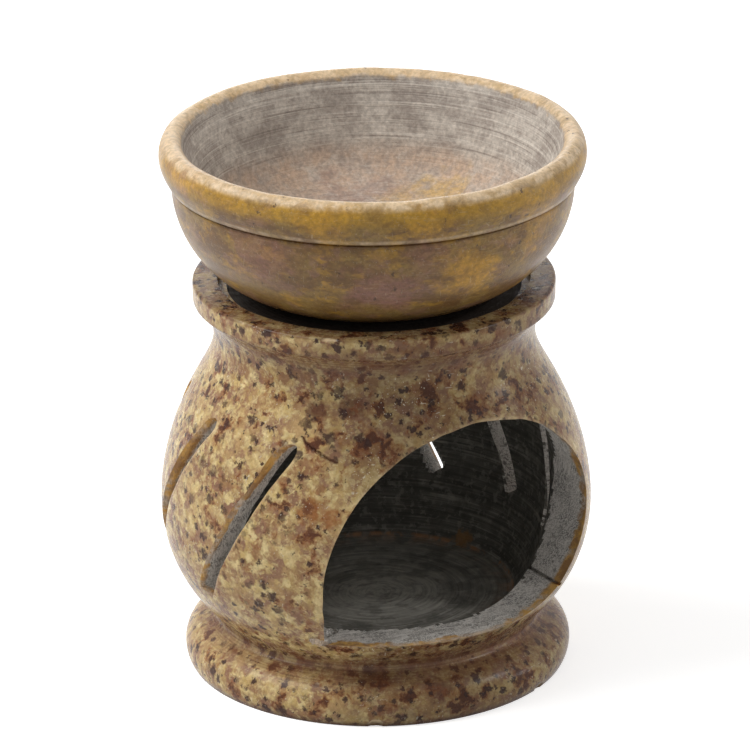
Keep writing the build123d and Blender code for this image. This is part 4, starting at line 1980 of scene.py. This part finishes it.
    def dress(self, stone: Piece, kit: EffectKit) -> None:
        """Put the bowl's finish on, with its larger patches of colour where they are.

        Args:
            stone: The mesh object.
            kit: Shared effects.
        """
        ochre, mauve, pink = tone(200, 150, 56), tone(146, 104, 92), tone(186, 146, 126)
        stains = Stain.several((
            (-46.8, 39.0, 98.5, 7.0, ochre, 0.75, 0.8, 0.6),
            (-20.0, 39.0, 99.5, 6.0, ochre, 0.6, 0.8, 0.6),
            (-4.2, 35.8, 86.9, 7.0, ochre, 0.7, 0.8, 0.6),
            (-31.0, 34.9, 84.0, 9.0, mauve, 0.75, 0.8, 0.5),
            (-67.0, 36.0, 90.0, 9.0, mauve, 0.5, 0.8, 0.5),
            (-18.0, 36.6, 92.0, 6.0, mauve, 0.4, 0.8, 0.5),
            (20.0, 37.3, 95.0, 8.0, ochre, 0.5, 0.8, 0.6),
            (75.0, 36.0, 90.0, 10.0, ochre, 0.6, 0.8, 0.6),
            (140.0, 36.0, 86.0, 11.0, mauve, 0.6, 0.8, 0.5),
            (-140.0, 36.0, 92.0, 9.0, ochre, 0.6, 0.8, 0.6),
            (60.0, 36.0, 102.5, 6.0, pink, 0.6, 0.8, 0.5),
            (147.0, 37.0, 102.4, 18.0, tone(186, 162, 132), 0.7, 0.8, 0.5),
            # Painted highlight: the next patch lightens the lip's left, toward the key lamp.
            (-123.0, 36.5, 102.0, 15.0, tone(226, 204, 180), 0.7, 0.8, 0.5),
            (-95.0, 36.5, 102.5, 8.0, pink, 0.5, 0.8, 0.5),
        ))
        well_stains = Stain.several((
            (114.0, 24.5, 83.6, 7.0, tone(204, 168, 106), 0.75, 0.9, 0.7),
            (133.0, 20.5, 82.8, 6.0, tone(196, 160, 104), 0.6, 0.9, 0.7),
            (80.0, 12.0, 82.0, 11.0, tone(198, 164, 106), 0.7, 0.9, 0.7),
            (-20.0, 8.0, 81.9, 9.0, tone(202, 166, 120), 0.6, 0.9, 0.7),
            (157.0, 22.0, 83.3, 10.0, tone(156, 130, 118), 0.6, 0.9, 0.7),
            # Painted shade: the next patch darkens the well's left wall, which faces away from the key lamp.
            (-110.0, 29.0, 88.0, 14.0, tone(152, 144, 136), 0.6, 0.9, 0.5),
        ))
        finish = BowlStone(
            "waxed_bowl_stone", 0.22, 0.8, 0.26, 0.06,
            rim_height=self.rim_top, seam_height=self.belly_centre[1] + 0.6 * self.rim_step,
            stains=stains, well_stains=well_stains,
        )
        stone.data.materials.append(finish.make(kit))


@dataclass
class Studio:
    """White sweep of floor and world, soft lamps and the camera of the photograph."""

    camera_bearing: float = -33.0
    camera_rise: float = 21.55
    camera_distance: float = 1200.0
    aim_height: float = 55.2
    roll: float = -0.57
    image_width: int = 750
    focal_pixels: float = 6497.0
    sensor: float = 36.0
    ambient: float = 0.31
    floor_size: float = 6000.0

    def build(self) -> None:
        """Place the floor, the world, the lamps and the camera."""
        self._floor()
        self._world()
        self._lamp("key", bearing=-118.0, rise=50.0, distance=700.0, size=440.0, power=4.4)
        self._lamp("side", bearing=50.0, rise=35.0, distance=800.0, size=110.0, power=1.2)
        self._lamp("back", bearing=150.0, rise=8.0, distance=900.0, size=300.0, power=0.55)
        self._lamp("glint", bearing=60.0, rise=10.0, distance=800.0, size=60.0, power=0.5)
        self._camera()

    def _floor(self) -> None:
        """Pale floor that takes the object's shadow and is white to the camera."""
        half = self.floor_size / 2.0
        corners = np.array([[-half, -half, 0.0], [half, -half, 0.0], [half, half, 0.0], [-half, half, 0.0]])
        floor = MeshShop.add("studio_floor", corners * MM, [(0, 1, 2, 3)])
        made = bpy.data.materials.new("pale_floor")
        made.use_nodes = True
        made.node_tree.nodes.clear()
        graph = NodeGraph(made.node_tree)
        seen = self._seen(graph)
        here = graph.node("ShaderNodeTexCoord").outputs["Object"]
        grain = graph.node("ShaderNodeTexNoise", {"Vector": here, "Scale": 40.0, "Detail": 2.0}).outputs["Fac"]
        colour = graph.mix(grain, (0.87, 0.87, 0.87, 1.0), (0.9, 0.9, 0.9, 1.0))
        colour = graph.mix(seen, (0.7, 0.7, 0.7, 1.0), colour)
        matt = graph.node("ShaderNodeBsdfDiffuse", {"Color": colour})
        along = graph.node("ShaderNodeSeparateXYZ", {"Vector": here}).outputs
        away = graph.math("ADD", graph.times(along["X"], along["X"]), graph.times(along["Y"], along["Y"]))
        strength = graph.times(seen, graph.span(graph.smooth(away, 0.1, 1.0), 0.57, 0.75))
        glow = graph.node("ShaderNodeEmission", {"Color": (1.0, 1.0, 1.0, 1.0), "Strength": strength})
        both = graph.node("ShaderNodeAddShader", {0: matt.outputs[0], 1: glow.outputs[0]})
        graph.node("ShaderNodeOutputMaterial", {"Surface": both.outputs[0]})
        floor.data.materials.append(made)

    @staticmethod
    def _seen(graph: NodeGraph) -> Socket:
        """Tell whether the camera sees a place, straight or by way of gloss or glass.

        Args:
            graph: Graph of the floor or the world.

        Returns:
            1 where it is seen and 0 elsewhere.
        """
        path = graph.node("ShaderNodeLightPath").outputs
        mirrored = graph.math("MAXIMUM", path["Is Glossy Ray"], path["Is Transmission Ray"])
        return graph.math("MAXIMUM", path["Is Camera Ray"], mirrored)

    def _world(self) -> None:
        """White surroundings for the eye, and a soft even light for the stone."""
        world = bpy.data.worlds.new("studio")
        world.use_nodes = True
        world.node_tree.nodes.clear()
        graph = NodeGraph(world.node_tree)
        strength = graph.node(
            "ShaderNodeMapRange", {"Value": self._seen(graph), "To Min": self.ambient, "To Max": 1.0}
        ).outputs[0]
        glow = graph.node("ShaderNodeBackground", {"Color": (1.0, 1.0, 1.0, 1.0), "Strength": strength})
        graph.node("ShaderNodeOutputWorld", {"Surface": glow.outputs[0]})
        bpy.context.scene.world = world

    def _lamp(self, name: str, bearing: float, rise: float, distance: float, size: float, power: float) -> None:
        """Place one soft square lamp.

        Args:
            name: Name of the lamp.
            bearing: Bearing from the middle of the object.
            rise: Angle over the floor.
            distance: Distance from the middle of the object.
            size: Width of the lamp.
            power: Power in watts.
        """
        lamp = bpy.data.lights.new(name, "AREA")
        lamp.shape, lamp.size, lamp.energy = "SQUARE", size * MM, power
        made = bpy.data.objects.new(name, lamp)
        aim = Vector((0.0, 0.0, self.aim_height * MM))
        level = math.radians(rise)
        made.location = aim + Vector(on_bearing(bearing, distance * math.cos(level), distance * math.sin(level)) * MM)
        made.rotation_euler = (aim - made.location).to_track_quat("-Z", "Y").to_euler()
        bpy.context.scene.collection.objects.link(made)

    def _camera(self) -> None:
        """Place the camera at the photograph's angle and frame."""
        lens = bpy.data.cameras.new("camera")
        lens.sensor_fit, lens.sensor_width = "HORIZONTAL", self.sensor
        lens.lens = self.focal_pixels / self.image_width * self.sensor
        lens.clip_start, lens.clip_end = 0.05, 20.0
        made = bpy.data.objects.new("camera", lens)
        level = math.radians(self.camera_rise)
        aim = Vector((0.0, 0.0, self.aim_height * MM))
        flat, rise = self.camera_distance * math.cos(level), self.camera_distance * math.sin(level)
        made.location = aim + Vector(on_bearing(self.camera_bearing, flat, rise) * MM)
        look = (aim - made.location).to_track_quat("-Z", "Y").to_matrix().to_4x4()
        made.rotation_euler = (look @ Matrix.Rotation(math.radians(self.roll), 4, "Z")).to_euler()
        bpy.context.scene.collection.objects.link(made)
        bpy.context.scene.camera = made


def set_on_frame(piece: Piece, node: Node) -> None:
    """Let a piece stand for its node, with the node's part hidden, and ride on the node's body.

    Args:
        piece: The visual piece.
        node: Node that it stands for.
    """
    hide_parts(node.node)
    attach(piece, node.rides_on)
    LOG.info("%s: %d faces, rides on %s", piece.name, len(piece.data.polygons), node.rides_on)


def main() -> None:
    """Build the body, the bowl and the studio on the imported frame."""
    logging.basicConfig(level=logging.INFO, format="%(name)s: %(message)s")
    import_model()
    bpy.context.scene.view_settings.view_transform = "Standard"
    kit = EffectKit()
    body = BurnerBody()
    stone = body.build()
    body.dress(stone, kit)
    set_on_frame(stone, Node.BODY)
    bowl = OilBowl()
    vessel = bowl.build()
    bowl.dress(vessel, kit)
    set_on_frame(vessel, Node.BOWL)
    Studio().build()


if __name__ == "__main__":
    main()
